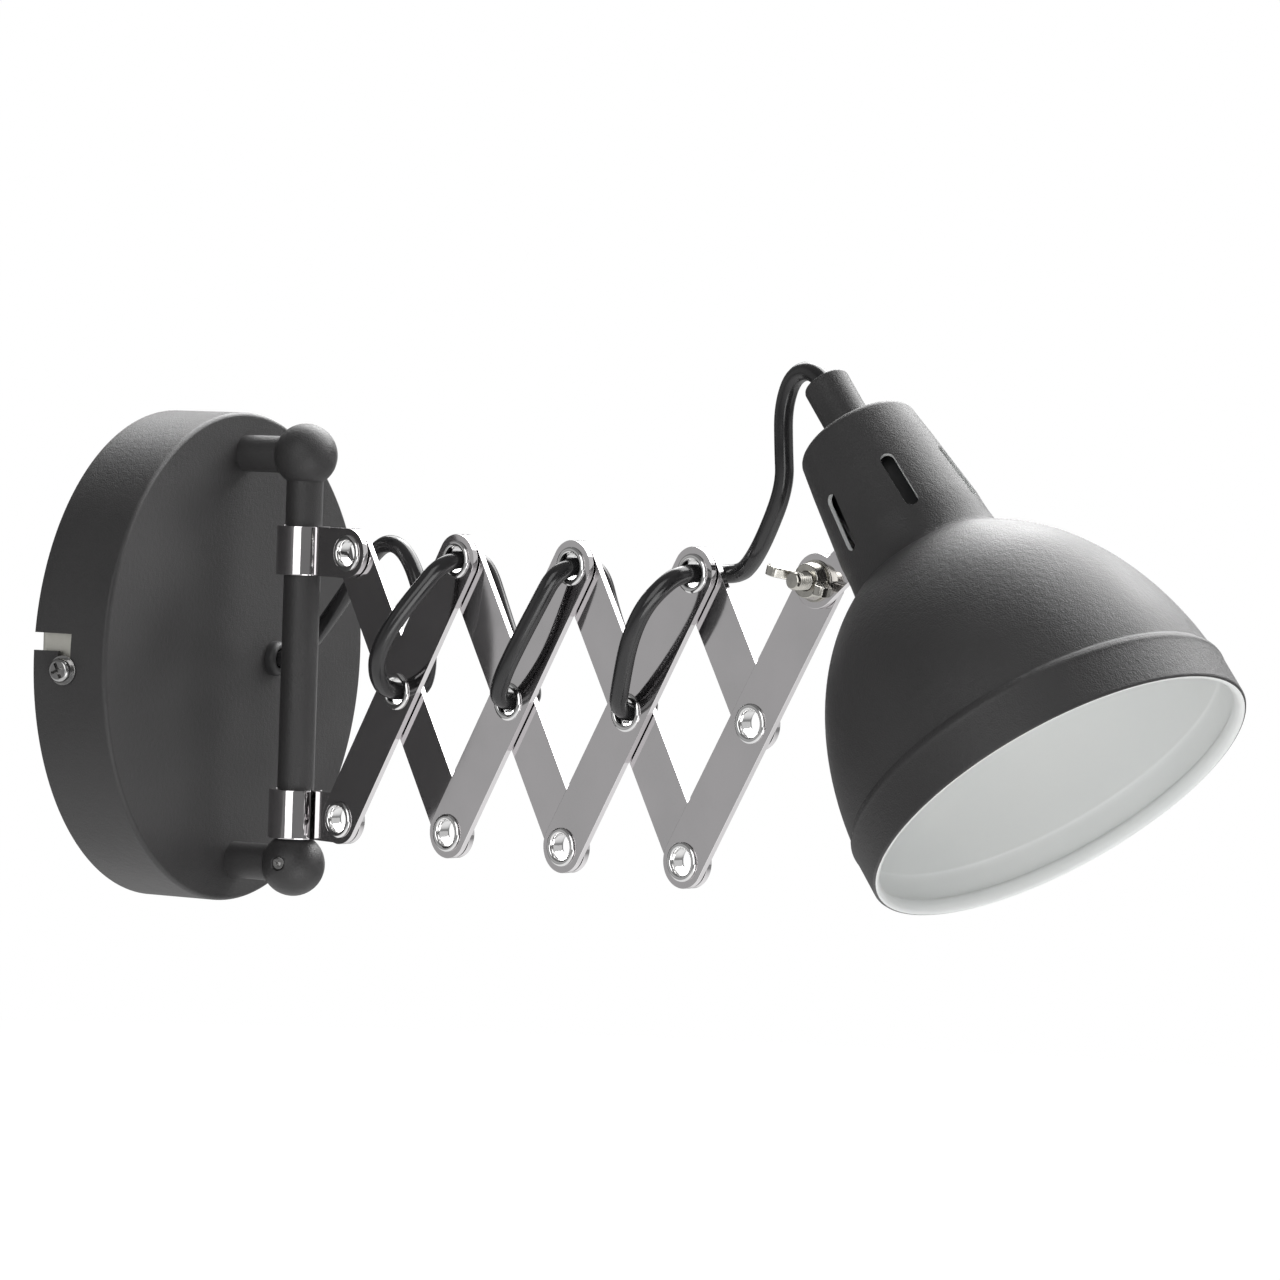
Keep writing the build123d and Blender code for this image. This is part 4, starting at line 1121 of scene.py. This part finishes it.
@dataclass
class TiltJoint:
    """The threaded bolt, the washer, the wing nut and the ear of the head."""

    frame: ArmFrame
    bolt_r: float = 2.0
    root_r: float = 1.66
    pitch: float = 0.62
    tip: float = 10.8
    thread_from: float = 3.4
    cast_voxel: float = 0.00016

    def bolt(self) -> Object:
        """Bolt with a turned thread on its free end, its head behind the strip."""
        profile = [
            (1.2, -2.45), (2.8, -2.4), (3.5, -2.1), (3.9, -1.5), (4.0, -0.8), (4.0, 0.15),
            (2.0, 0.16),
        ]
        profile.append((self.bolt_r, self.thread_from))
        level = self.thread_from
        while level < self.tip - 0.9:
            profile += [
                (self.root_r, level + self.pitch * 0.45), (self.bolt_r, level + self.pitch * 0.9),
            ]
            profile.append((self.bolt_r, level + self.pitch))
            level += self.pitch
        profile += [
            (self.bolt_r - 0.2, self.tip - 0.12), (self.bolt_r - 0.4, self.tip), (0.3, self.tip),
        ]
        bolt = Bench.turned("tilt_screw", profile, 48)
        Bench.smooth(bolt, 25)
        return Bench.place(bolt, self.frame.strip_place(self.frame.pivot(8, 1), 0.0, 0.0))

    def build(self) -> None:
        """Makes and dresses the joint's pieces."""
        Outfit.fit(self.bolt(), "front_4", NICKEL.material(), "nickel", "tilt_bolt")
        nut = Bench.from_node("wing_nut", "cast_wing_nut", flat=False)
        Bench.pick(nut)
        cast = nut.modifiers.new("cast", "REMESH")
        cast.mode, cast.voxel_size = "VOXEL", self.cast_voxel
        soft = nut.modifiers.new("soft", "SMOOTH")
        soft.iterations, soft.factor = 6, 0.5
        for step in (cast.name, soft.name):
            bpy.ops.object.modifier_apply(modifier=step)
        Bench.pick(nut)
        bpy.ops.object.shade_smooth()
        Outfit.fit(nut, "wing_nut", NICKEL.material(), "nickel", "wing_nut")
        washer = Bench.ease(Bench.from_node("tilt_washer", "tilt_joint_washer"), 0.0001)
        Bench.smooth(washer)
        Outfit.fit(washer, "head", NICKEL.material(), "nickel", "tilt_washer")
        ear = Bench.smooth(Bench.ease(Bench.from_node("head_lug", "head_ear"), 0.00018, 3))
        Outfit.fit(ear, "head", CHROME.material(), "chrome", "head_lug")


@dataclass
class LampHead:
    """The shade, the neck cap, the cord grip and the lamp holder."""

    frame: ArmFrame
    rim_r: float = 43.0
    wall: float = 1.0
    dome_r: float = 42.5
    dome_rise: float = 59.0
    dome_centre: float = 5.0
    dome_top: float = 58.3
    neck_top: float = 94.6
    grip_h: float = 14.6
    grip_r: float = 5.1
    holder_r: float = 13.8
    vents: int = 6
    vent_turn: float = -12.6
    vent_level: float = 73.7
    vent_r: float = 1.5
    vent_length: float = 11.0

    def dome(self, station: float, inset: float = 0.0) -> float:
        """Radius of the dome at a station, drawn in by an inset."""
        share = (station - self.dome_centre) / (self.dome_rise - inset)
        return (self.dome_r - inset) * math.sqrt(max(0.0, 1 - share**2))

    def shade(self) -> Object:
        """Turns the bell with its shoulder and rolled rim, black outside and white inside."""
        outer = [
            (self.rim_r - 0.55, 0.02), (self.rim_r - 0.2, 0.15), (self.rim_r, 0.5),
            (self.rim_r, 1.4),
        ]
        outer += [
            (self.rim_r, 4.0), (self.rim_r, 7.5), (self.rim_r + 0.03, 8.7),
            (self.rim_r + 0.12, 9.3),
        ]
        outer += [(self.rim_r + 0.14, 9.7), (self.rim_r + 0.08, 10.1), (self.rim_r - 0.07, 10.5)]
        outer += [
            (self.rim_r - 0.3, 10.85), (self.rim_r - 0.55, 11.15), (self.dome(11.6) + 0.02, 11.5),
        ]
        for step in range(1, 40):
            station = 11.6 + (self.dome_top - 11.6) * math.sin(math.radians(90 * step / 40))
            outer.append((self.dome(station), station))
        outer += [
            (self.dome(self.dome_top), self.dome_top), (16.0, self.dome_top),
            (self.holder_r, self.dome_top),
        ]
        under_top = self.dome_top - self.wall
        inner = [(self.holder_r, under_top), (self.dome(self.dome_top, 1.0) - 0.4, under_top)]
        for step in range(39, 0, -1):
            share = math.sin(math.radians(90 * step / 40))
            station = 10.0 + (under_top - 10.0) * share
            inner.append((self.dome(station, self.wall), station))
        inner += [
            (self.dome(10.0, self.wall) + 0.05, 9.8), (self.rim_r - 1.38, 9.4),
            (self.rim_r - 1.16, 8.9),
        ]
        inner += [(self.rim_r - 1.04, 8.3), (self.rim_r - 1.0, 7.6), (self.rim_r - 1.0, 6.0)]
        inner += [(self.rim_r - 1.0, 3.7), (self.rim_r - 1.12, 3.35), (self.rim_r - 1.45, 3.15)]
        inner += [(self.rim_r - 1.78, 2.8), (self.rim_r - 2.0, 2.3), (self.rim_r - 2.05, 1.7)]
        inner += [(self.rim_r - 1.98, 1.1), (self.rim_r - 1.75, 0.55), (self.rim_r - 1.4, 0.18)]
        inner += [(self.rim_r - 0.95, 0.0)]
        shade = Bench.turned("bell_shade", outer + inner, 192, closed=True)
        Bench.smooth(shade, 50)
        black, white = POWDER.material(), SHADE_INSIDE.material()
        shade.data.materials.append(black)
        shade.data.materials.append(white)
        for face in shade.data.polygons:
            outwards = Vector((face.center.x, face.center.y, 0)).normalized()
            lip = face.center.z < 1.0 and face.center.xy.length < self.rim_r - 0.6
            under = face.center.z > 50 and face.normal.z < -0.3
            face.material_index = int(face.normal.dot(outwards) < -0.02 or lip or under)
        return Bench.place(shade, self.frame.lamp_place(0))

    def neck(self) -> Object:
        """Turns the neck cap and cuts its vents, its slit and its hole."""
        base = self.dome_top
        outer = [
            (18.0, base), (17.55, base + 0.7), (17.15, base + 1.8), (16.85, base + 3.4),
            (16.6, base + 5.6),
        ]
        outer += [
            (16.45, base + 8.4), (16.4, base + 10.5), (15.6, base + 17.4), (14.4, base + 27.7),
        ]
        top = self.neck_top
        for step in range(7):
            turn = math.radians(90 * step / 6)
            outer.append((11.5 + 2.0 * math.cos(turn), top - 2.0 + 2.0 * math.sin(turn)))
        inner = [(radius - 1.0, min(level, top - 1.0)) for radius, level in reversed(outer)]
        hole = [(6.0, top), (4.1, top), (4.1, top - 1.0)]
        neck = Bench.turned("neck_cover", outer + hole + inner, 128, closed=True)
        for vent in range(self.vents):
            slot = Bench.stadium("cut", self.vent_r, self.vent_length, 24.0, 32)
            lie = Bench.spin(360 / self.vents * vent + self.vent_turn, "Z") @ Bench.spin(-90, "X")
            seat = Matrix.Translation((0, 0, self.vent_level)) @ lie @ Bench.spin(90, "Z")
            Bench.place(slot, seat @ Matrix.Translation((-self.vent_length / 2, 0, 0)))
            Bench.carve(neck, slot)
        slit = Bench.block("cut", Vector((8.0, -0.8, 70.35)), Vector((24.0, 0.8, 78.45)))
        Bench.carve(neck, slit)
        Bench.ease(neck, 0.2, 1, 60)
        Bench.smooth(neck, 35)
        neck.data.materials.append(POWDER.material())
        neck.data.materials.append(SHADE_INSIDE.material())
        # The inside of the cap is white enamel. The vents' cut walls get the same white: partly
        # enamel on the cut edge, partly a painted highlight round each vent.
        for face in neck.data.polygons:
            outwards = Vector((face.center.x, face.center.y, 0)).normalized()
            below_top = face.center.z < self.neck_top - 4
            vent_wall_highlight = 64 < face.center.z < 84 and face.normal.dot(outwards) < 0.93
            face.material_index = int(below_top and face.normal.dot(outwards) < 0.3 or vent_wall_highlight)
        return Bench.place(neck, self.frame.lamp_place(0))

    def grip(self) -> Object:
        """Turns the cord grip with its flat top and its mouth for the cable."""
        base, top = self.neck_top, self.neck_top + self.grip_h
        profile = [
            (3.0, base), (self.grip_r - 0.25, base), (self.grip_r, base + 0.25),
            (self.grip_r, base + 7),
        ]
        profile += [
            (self.grip_r, top - 0.6), (self.grip_r - 0.17, top - 0.18), (self.grip_r - 0.6, top),
        ]
        profile += [
            (2.9, top), (2.55, top - 0.1), (2.4, top - 0.4), (2.35, top - 1.0), (2.35, base + 6.2),
        ]
        profile += [(3.0, base + 6.0)]
        grip = Bench.smooth(Bench.turned("cable_grip", profile, 64, closed=True), 50)
        # The lowest 0.25 mm of the grip is nickel: a painted highlight, a thin bright line where
        # the grip meets the neck cap.
        for finish in (POWDER, NICKEL):
            grip.data.materials.append(finish.material())
        for face in grip.data.polygons:
            face.material_index = int(base < face.center.z < base + 0.25)
        return Bench.place(grip, self.frame.lamp_place(0))

    def cap(self, holder: Object) -> None:
        """Gives the holder's upper half, behind the vents, black nylon."""
        holder.data.materials.append(BLACK_NYLON.material())
        to_head = self.frame.lamp_place(0).inverted()
        for face in holder.data.polygons:
            face.material_index = int((to_head @ face.center).z > self.dome_top + 1.5)

    def shell(self) -> Object:
        """Socket shell with its rolled thread."""
        profile = [(7.5, 47.5), (7.5, 65.5), (7.05, 65.5)]
        for step in range(48, 0, -1):
            level = 47.7 + 17.6 * step / 48
            profile.append((7.2 + 0.18 * math.cos(2 * math.pi * step / 8), level))
        shell = Bench.smooth(Bench.turned("socket_thread", profile, 64, closed=True), 60)
        return Bench.place(shell, self.frame.lamp_place(0))

    def build(self) -> None:
        """Makes and dresses the head."""
        Outfit.hang(self.shade(), "head", "black_coat", "shade")
        Outfit.hang(self.neck(), "head", "black_coat", "neck_cap")
        Outfit.hang(self.grip(), "head", "black_coat", "cord_grip")
        Outfit.fit(self.shell(), "head", BRASS.material(), "brass", "screw_shell")
        for node, name, finish in (
            ("lamp_holder", "holder_body", WHITE_PLASTIC),
            ("shade_ring", "holder_ring", WHITE_PLASTIC),
            ("nipple", "threaded_nipple", NICKEL),
            ("centre_contact", "contact_tongue", BRASS),
        ):
            piece = Bench.smooth(Bench.ease(Bench.from_node(node, name), 0.00015))
            Outfit.fit(piece, "head", finish.material(), finish.slot, node)
            if node == "lamp_holder":
                self.cap(piece)


@dataclass(frozen=True)
class Run:
    """One piece of the cable: its control points in metres and how it follows the arm."""

    name: str
    node: str
    points: list[Vector]
    body: str
    next_body: str = ""


@dataclass
class Cable:
    """The cable, from the wiring block through five eyelets to the cord grip."""

    frame: ArmFrame
    radius: float = 2.1
    cut: float = 21.0
    join: float = -1.5
    grip_top: float = 109.2
    bush_x: float = 16.0
    bush_z: float = -0.8

    def near(self, place: Vector, steps: list[tuple[float, float, float]]) -> list[Vector]:
        """Points near a place, in metres.

        Args:
            place: The place in metres.
            steps: Steps out along the arm, up and to the front side, in millimetres.

        Returns:
            The points.
        """
        out, side = self.frame.out * MM, self.frame.side * MM
        return [
            place + out * along + Vector((0, 0, rise * MM)) + side * across
            for along, rise, across in steps
        ]

    def beside(
        self, column: int, row: int, turn: float, route: list[tuple[float, float, float]],
    ) -> list[Vector]:
        """Points beside a strip, from its first eyelet to its next.

        Args:
            column: Column of the first eyelet.
            row: Row of the first eyelet.
            turn: Degrees from the arm's direction to the strip.
            route: Share of the half strip, distance across it and off the arm's middle plane.

        Returns:
            The points in metres, with the ends inside the eyelets.
        """
        place = self.frame.strip_place(self.frame.pivot(column, row), 0.0, turn)
        whole = [(0.0, 0.0, self.join), *route, (1.0, 0.0, self.join)]
        half = self.frame.half_strip
        return [place @ Vector((share * half, across, off)) for share, across, off in whole]

    def feed(self) -> list[Run]:
        """Pieces from the wiring block to the first middle eyelet."""
        frame, first = self.frame, self.frame.pivot(1, 0)
        bush = Vector((self.bush_x, -self.cut, self.bush_z)) * MM
        upper = frame.pivot(0, 1)
        behind_rod = self.near(frame.point(0, upper[1]), [(1.5, -11.4, -12.3)])[0]
        arch = self.near(
            frame.point(*upper), [(-7.0, -1.3, -11.8), (1.5, 3.6, -10.8), (10.3, -0.4, -9.8)],
        )
        fall = self.near(
            frame.point(*first), [(-2.3, 19.3, -9.2), (-0.8, 10.3, -9.0), (-0.2, 3.7, -8.4)],
        )
        parting = (behind_rod + arch[0]) / 2
        inside = [
            Vector((across, -out, self.bush_z)) * MM
            for across, out in ((self.bush_x, 10.3), (10.0, 6.5), (-9.0, 6.5))
        ]
        straight = bush + Vector((0, -6.5, 0)) * MM
        through = [frame.point(*first, -6.0), frame.point(*first, self.join)]
        return [
            Run("cable_inside", "cable_end", [bush, *inside], "wall_stand"),
            Run(
                "cable_from_wall", "cable_feed_wall", [bush, straight, behind_rod, parting],
                "wall_stand", "swivel",
            ),
            Run(
                "cable_to_arm", "cable_feed_arm", [parting, *arch, *fall, *through], "swivel",
                "front_1",
            ),
        ]

    def loops(self) -> list[Run]:
        """Loops in front of the rising strips and links behind the falling ones."""
        rising, falling = self.frame.strip_angle, -self.frame.strip_angle
        return [
            Run("cable_loop_a", "cable_loop_1", self.beside(1, 0, rising, [
                (0, 0, 4.8), (0.12, 0, 10.0), (0.27, 0.3, 12.6), (0.48, 0.5, 12.2),
                (0.75, 0.3, 8.9), (1, 0, 5.0),
            ]), "front_1"),
            Run("cable_link_a", "cable_link_1", self.beside(2, 1, falling, [
                (0, 0, -5.8), (0.08, -0.4, -8.2), (0.27, -1.6, -9.0), (0.53, -2.3, -9.1),
                (0.77, -1.6, -8.7),
                (0.92, -0.4, -8.2), (1, 0, -5.8),
            ]), "back_2"),
            Run("cable_loop_b", "cable_loop_2", self.beside(3, 0, rising, [
                (0, 0, 4.9), (0.15, 0, 7.1), (0.37, -0.5, 7.8), (0.69, -0.4, 6.9), (1, 0, 5.5),
            ]), "front_2"),
            Run("cable_link_b", "cable_link_2", self.beside(4, 1, falling, [
                (0, 0, -5.6), (0.08, -0.5, -7.9), (0.24, -2.0, -8.4), (0.48, -2.8, -8.5),
                (0.75, -2.1, -8.3),
                (0.92, -0.6, -7.9), (1, 0, -5.6),
            ]), "back_3"),
            Run("cable_loop_c", "cable_loop_3", self.beside(5, 0, rising, [
                (0, 0, 4.6), (0.23, 0, 7.9), (0.51, 0.5, 10.9), (0.75, 0.5, 11.4), (0.92, 0, 8.8),
                (1, 0, 5.2),
            ]), "front_3"),
        ]

    def tail(self) -> list[Run]:
        """Pieces from the last top eyelet into the cord grip."""
        frame, last = self.frame, self.frame.pivot(6, 1)
        low = self.near(frame.point(*last), [(3.5, 0.1, -9.2), (8.1, 1.8, -8.0), (15.9, 8.4, -4.6)])
        mouth = frame.lamp_place(self.grip_top).translation
        steps = [
            (-15.4, -22.6, -5.0), (-14.5, -14.1, -3.1), (-14.0, -5.1, -2.0), (-10.1, 2.1, -1.0),
        ]
        high = self.near(mouth, steps)
        parting = (low[-1] + high[0]) / 2
        through = [frame.point(*last, self.join), frame.point(*last, -6.6)]
        ends = [mouth - frame.lamp_out * 3.7 * MM, mouth + frame.lamp_out * 3.5 * MM]
        return [
            Run("cable_tail_low", "cable_tail_arm", [*through, *low, parting], "back_4", "front_4"),
            Run("cable_tail_high", "cable_tail_head", [parting, *high, *ends], "front_4", "head"),
        ]

    def tube(self, run: Run) -> Object:
        """Round tube on one smooth spline through a run's control points."""
        curve = bpy.data.curves.new(run.name, "CURVE")
        curve.dimensions = "3D"
        spline = curve.splines.new("NURBS")
        spline.points.add(len(run.points) - 1)
        for point, place in zip(spline.points, run.points):
            point.co = (*place, 1.0)
        spline.order_u = 3
        spline.use_endpoint_u = True
        spline.resolution_u = 10
        curve.bevel_depth = self.radius * MM
        curve.bevel_resolution = 8
        curve.use_fill_caps = True
        piece = bpy.data.objects.new(run.name, curve)
        bpy.context.scene.collection.objects.link(piece)
        Bench.pick(piece)
        bpy.ops.object.convert(target="MESH")
        piece = bpy.context.object
        return Bench.smooth(piece, 60)

    def build(self) -> None:
        """Makes and dresses the cable; a piece within one body hangs on it, a piece that crosses a
        joint is left in place.
        """
        for run in self.feed() + self.loops() + self.tail():
            piece = self.tube(run)
            Outfit.dress(piece, SHEATH.material())
            if run.next_body:
                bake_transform(piece)
            else:
                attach(piece, run.body)
            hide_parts(run.node)
            log.info("%s follows %s %s", run.name, run.body, run.next_body)


@dataclass(frozen=True)
class Softbox:
    """A soft lamp, placed by its direction from the object as the camera sees it."""

    name: str
    right: float
    up: float
    distance: float
    width: float
    height: float
    radiance: float


@dataclass
class Studio:
    """Camera, soft lamps, world and floor."""

    right: Vector
    up: Vector
    back: Vector
    eye: Vector
    target: Vector
    lens: float = 122.79
    sensor: float = 36.0
    room: Colour = (0.17, 0.17, 0.172)
    mirrored_room: float = 0.20
    mirrored_left: float = 0.45
    left_span: tuple[float, float] = (-0.93, -0.8)
    backdrop_span: tuple[float, float] = (0.86, 0.97)
    floor_level: float = -0.62
    floor_r: float = 4.0
    floor_paint: float = 0.42
    floor_glow: float = 0.93
    floor_far: float = 0.30
    floor_span: tuple[float, float] = (0.6, 1.8)
    softboxes: tuple[Softbox, ...] = (
        Softbox("key_left", -25.0, 14.0, 1.35, 0.80, 1.25, 2.05),
        Softbox("wide_right", 84.0, 14.0, 1.25, 1.3, 1.2, 0.50),
        Softbox("high_behind", 136.0, 50.0, 1.3, 1.6, 1.3, 6.3),
        Softbox("low_bounce", 58.0, -46.0, 0.62, 0.55, 0.50, 0.4),
        Softbox("low_front", 20.0, -32.0, 0.80, 0.60, 0.45, 2.7),
        Softbox("top_behind", -176.0, 44.0, 1.3, 0.8, 0.7, 4.5),
    )

    def camera(self) -> None:
        """Camera at the photograph's angle and distance."""
        data = bpy.data.cameras.new("photo_camera")
        data.lens, data.sensor_width, data.sensor_fit = self.lens, self.sensor, "HORIZONTAL"
        data.clip_start, data.clip_end = 0.05, 20.0
        camera = bpy.data.objects.new("photo_camera", data)
        bpy.context.scene.collection.objects.link(camera)
        turn = Matrix((self.right, self.up, self.back)).transposed().to_4x4()
        camera.matrix_world = Matrix.Translation(self.eye) @ turn
        bpy.context.scene.camera = camera

    def lamps(self) -> None:
        """Soft lamps round the object."""
        for box in self.softboxes:
            data = bpy.data.lights.new(box.name, "AREA")
            data.shape, data.size, data.size_y = "RECTANGLE", box.width, box.height
            data.energy = box.radiance * math.pi * box.width * box.height
            lamp = bpy.data.objects.new(box.name, data)
            bpy.context.scene.collection.objects.link(lamp)
            across, rise = math.radians(box.right), math.radians(box.up)
            level = self.back * math.cos(across) + self.right * math.sin(across)
            toward = (level * math.cos(rise) + self.up * math.sin(rise)).normalized()
            place = Matrix.Translation(self.target + toward * box.distance)
            lamp.matrix_world = place @ toward.to_track_quat("Z", "Y").to_matrix().to_4x4()

    def world(self) -> None:
        """Grey room with a white backdrop behind the object, white all round to the camera."""
        world = bpy.data.worlds.new("studio")
        bpy.context.scene.world = world
        world.use_nodes = True
        nodes = Nodes(world.node_tree)
        path = nodes.add("ShaderNodeLightPath")
        around = nodes.add("ShaderNodeBackground", Color=(*self.room, 1), Strength=1.0)
        backdrop = (self.right * 0.26 - self.back * 0.966).normalized()
        room = nodes.mix(
            Mix.COLOUR,
            nodes.spread(self.facing(nodes, self.right), *self.left_span),
            self.grey(self.mirrored_left),
            self.grey(self.mirrored_room),
        )
        away = nodes.spread(self.facing(nodes, backdrop), *self.backdrop_span)
        tone = nodes.mix(Mix.COLOUR, away, room, self.grey(1))
        pale = nodes.add("ShaderNodeBackground", Color=tone, Strength=1.0)
        white = nodes.add("ShaderNodeBackground", Color=self.grey(1), Strength=1.0)
        glossy = path.outputs["Is Glossy Ray"]
        shine = nodes.mix(Mix.SHADER, glossy, around.outputs[0], pale.outputs[0])
        clear = nodes.add("ShaderNodeMath", operation="MAXIMUM")
        nodes.link(path.outputs["Is Camera Ray"], clear.inputs[0])
        nodes.link(path.outputs["Is Transmission Ray"], clear.inputs[1])
        seen = nodes.mix(Mix.SHADER, clear.outputs[0], shine, white.outputs[0])
        nodes.link(seen, nodes.add("ShaderNodeOutputWorld").inputs["Surface"])

    @staticmethod
    def grey(level: float) -> tuple[float, float, float, float]:
        """Grey of a level, with full alpha."""
        return level, level, level, 1

    @staticmethod
    def facing(nodes: Nodes, direction: Vector) -> Socket:
        """How nearly a ray to the world runs in a direction, from -1 to 1."""
        dot = nodes.add("ShaderNodeVectorMath", operation="DOT_PRODUCT")
        nodes.link(nodes.add("ShaderNodeTexCoord").outputs["Generated"], dot.inputs[0])
        dot.inputs[1].default_value = direction
        return dot.outputs["Value"]

    def floor(self) -> None:
        """Pale floor, white to the camera outside the shadow, and in metal near the object."""
        Bench.clear()
        place = (0, 0, self.floor_level)
        bpy.ops.mesh.primitive_circle_add(
            vertices=96, radius=self.floor_r, fill_type="NGON", location=place
        )
        floor = bpy.context.object
        floor.name = floor.data.name = "studio_floor"
        material = bpy.data.materials.new("pale_floor")
        material.use_nodes = True
        nodes = Nodes(material.node_tree)
        path = nodes.add("ShaderNodeLightPath")
        paint = nodes.add("ShaderNodeBsdfDiffuse", Color=self.grey(self.floor_paint)).outputs[0]
        glow = nodes.add("ShaderNodeEmission", Color=self.grey(1), Strength=self.floor_glow)
        span = nodes.add("ShaderNodeVectorMath", operation="LENGTH")
        nodes.link(nodes.add("ShaderNodeTexCoord").outputs["Object"], span.inputs[0])
        reach = nodes.spread(span.outputs["Value"], *self.floor_span)
        sweep = nodes.mix(Mix.COLOUR, reach, self.grey(1), self.grey(self.floor_far))
        pale = nodes.add("ShaderNodeEmission", Color=sweep, Strength=1.0)
        lit = nodes.add("ShaderNodeAddShader")
        nodes.link(paint, lit.inputs[0])
        nodes.link(glow.outputs[0], lit.inputs[1])
        shine = nodes.mix(Mix.SHADER, path.outputs["Is Glossy Ray"], paint, pale.outputs[0])
        seen = nodes.mix(Mix.SHADER, path.outputs["Is Camera Ray"], shine, lit.outputs[0])
        nodes.link(seen, nodes.add("ShaderNodeOutputMaterial").inputs["Surface"])
        floor.data.materials.append(material)

    def build(self) -> None:
        """Sets the studio up."""
        self.camera()
        self.lamps()
        self.world()
        self.floor()
        bpy.context.scene.view_settings.view_transform = "Standard"


def main() -> None:
    """Loads the frame, builds every piece on it and the studio round it."""
    logging.basicConfig(level=logging.INFO, format="%(name)s: %(message)s")
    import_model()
    frame = ArmFrame()
    Studio(
        right=Vector((0.44269, -0.89602, 0.03429)),
        up=Vector((0.02127, 0.04873, 0.99859)),
        back=Vector((-0.89642, -0.44134, 0.04063)),
        eye=Vector((-0.91862, -0.58167, 0.05107)),
        target=Vector((-0.02, -0.14, 0.01)),
    ).build()
    Cable(frame).build()
    Canopy().build()
    Stand().build()
    Collar(frame).build("lower_strap_collar", -1, Layer.BACK, "swivel", "lower_collar")
    Collar(frame).build("upper_strap_collar", 1, Layer.FRONT, "slider", "upper_collar")
    ScissorArm(frame).build()
    TiltJoint(frame).build()
    LampHead(frame).build()
    Bench.clear()
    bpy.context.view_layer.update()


if __name__ == "__main__":
    main()
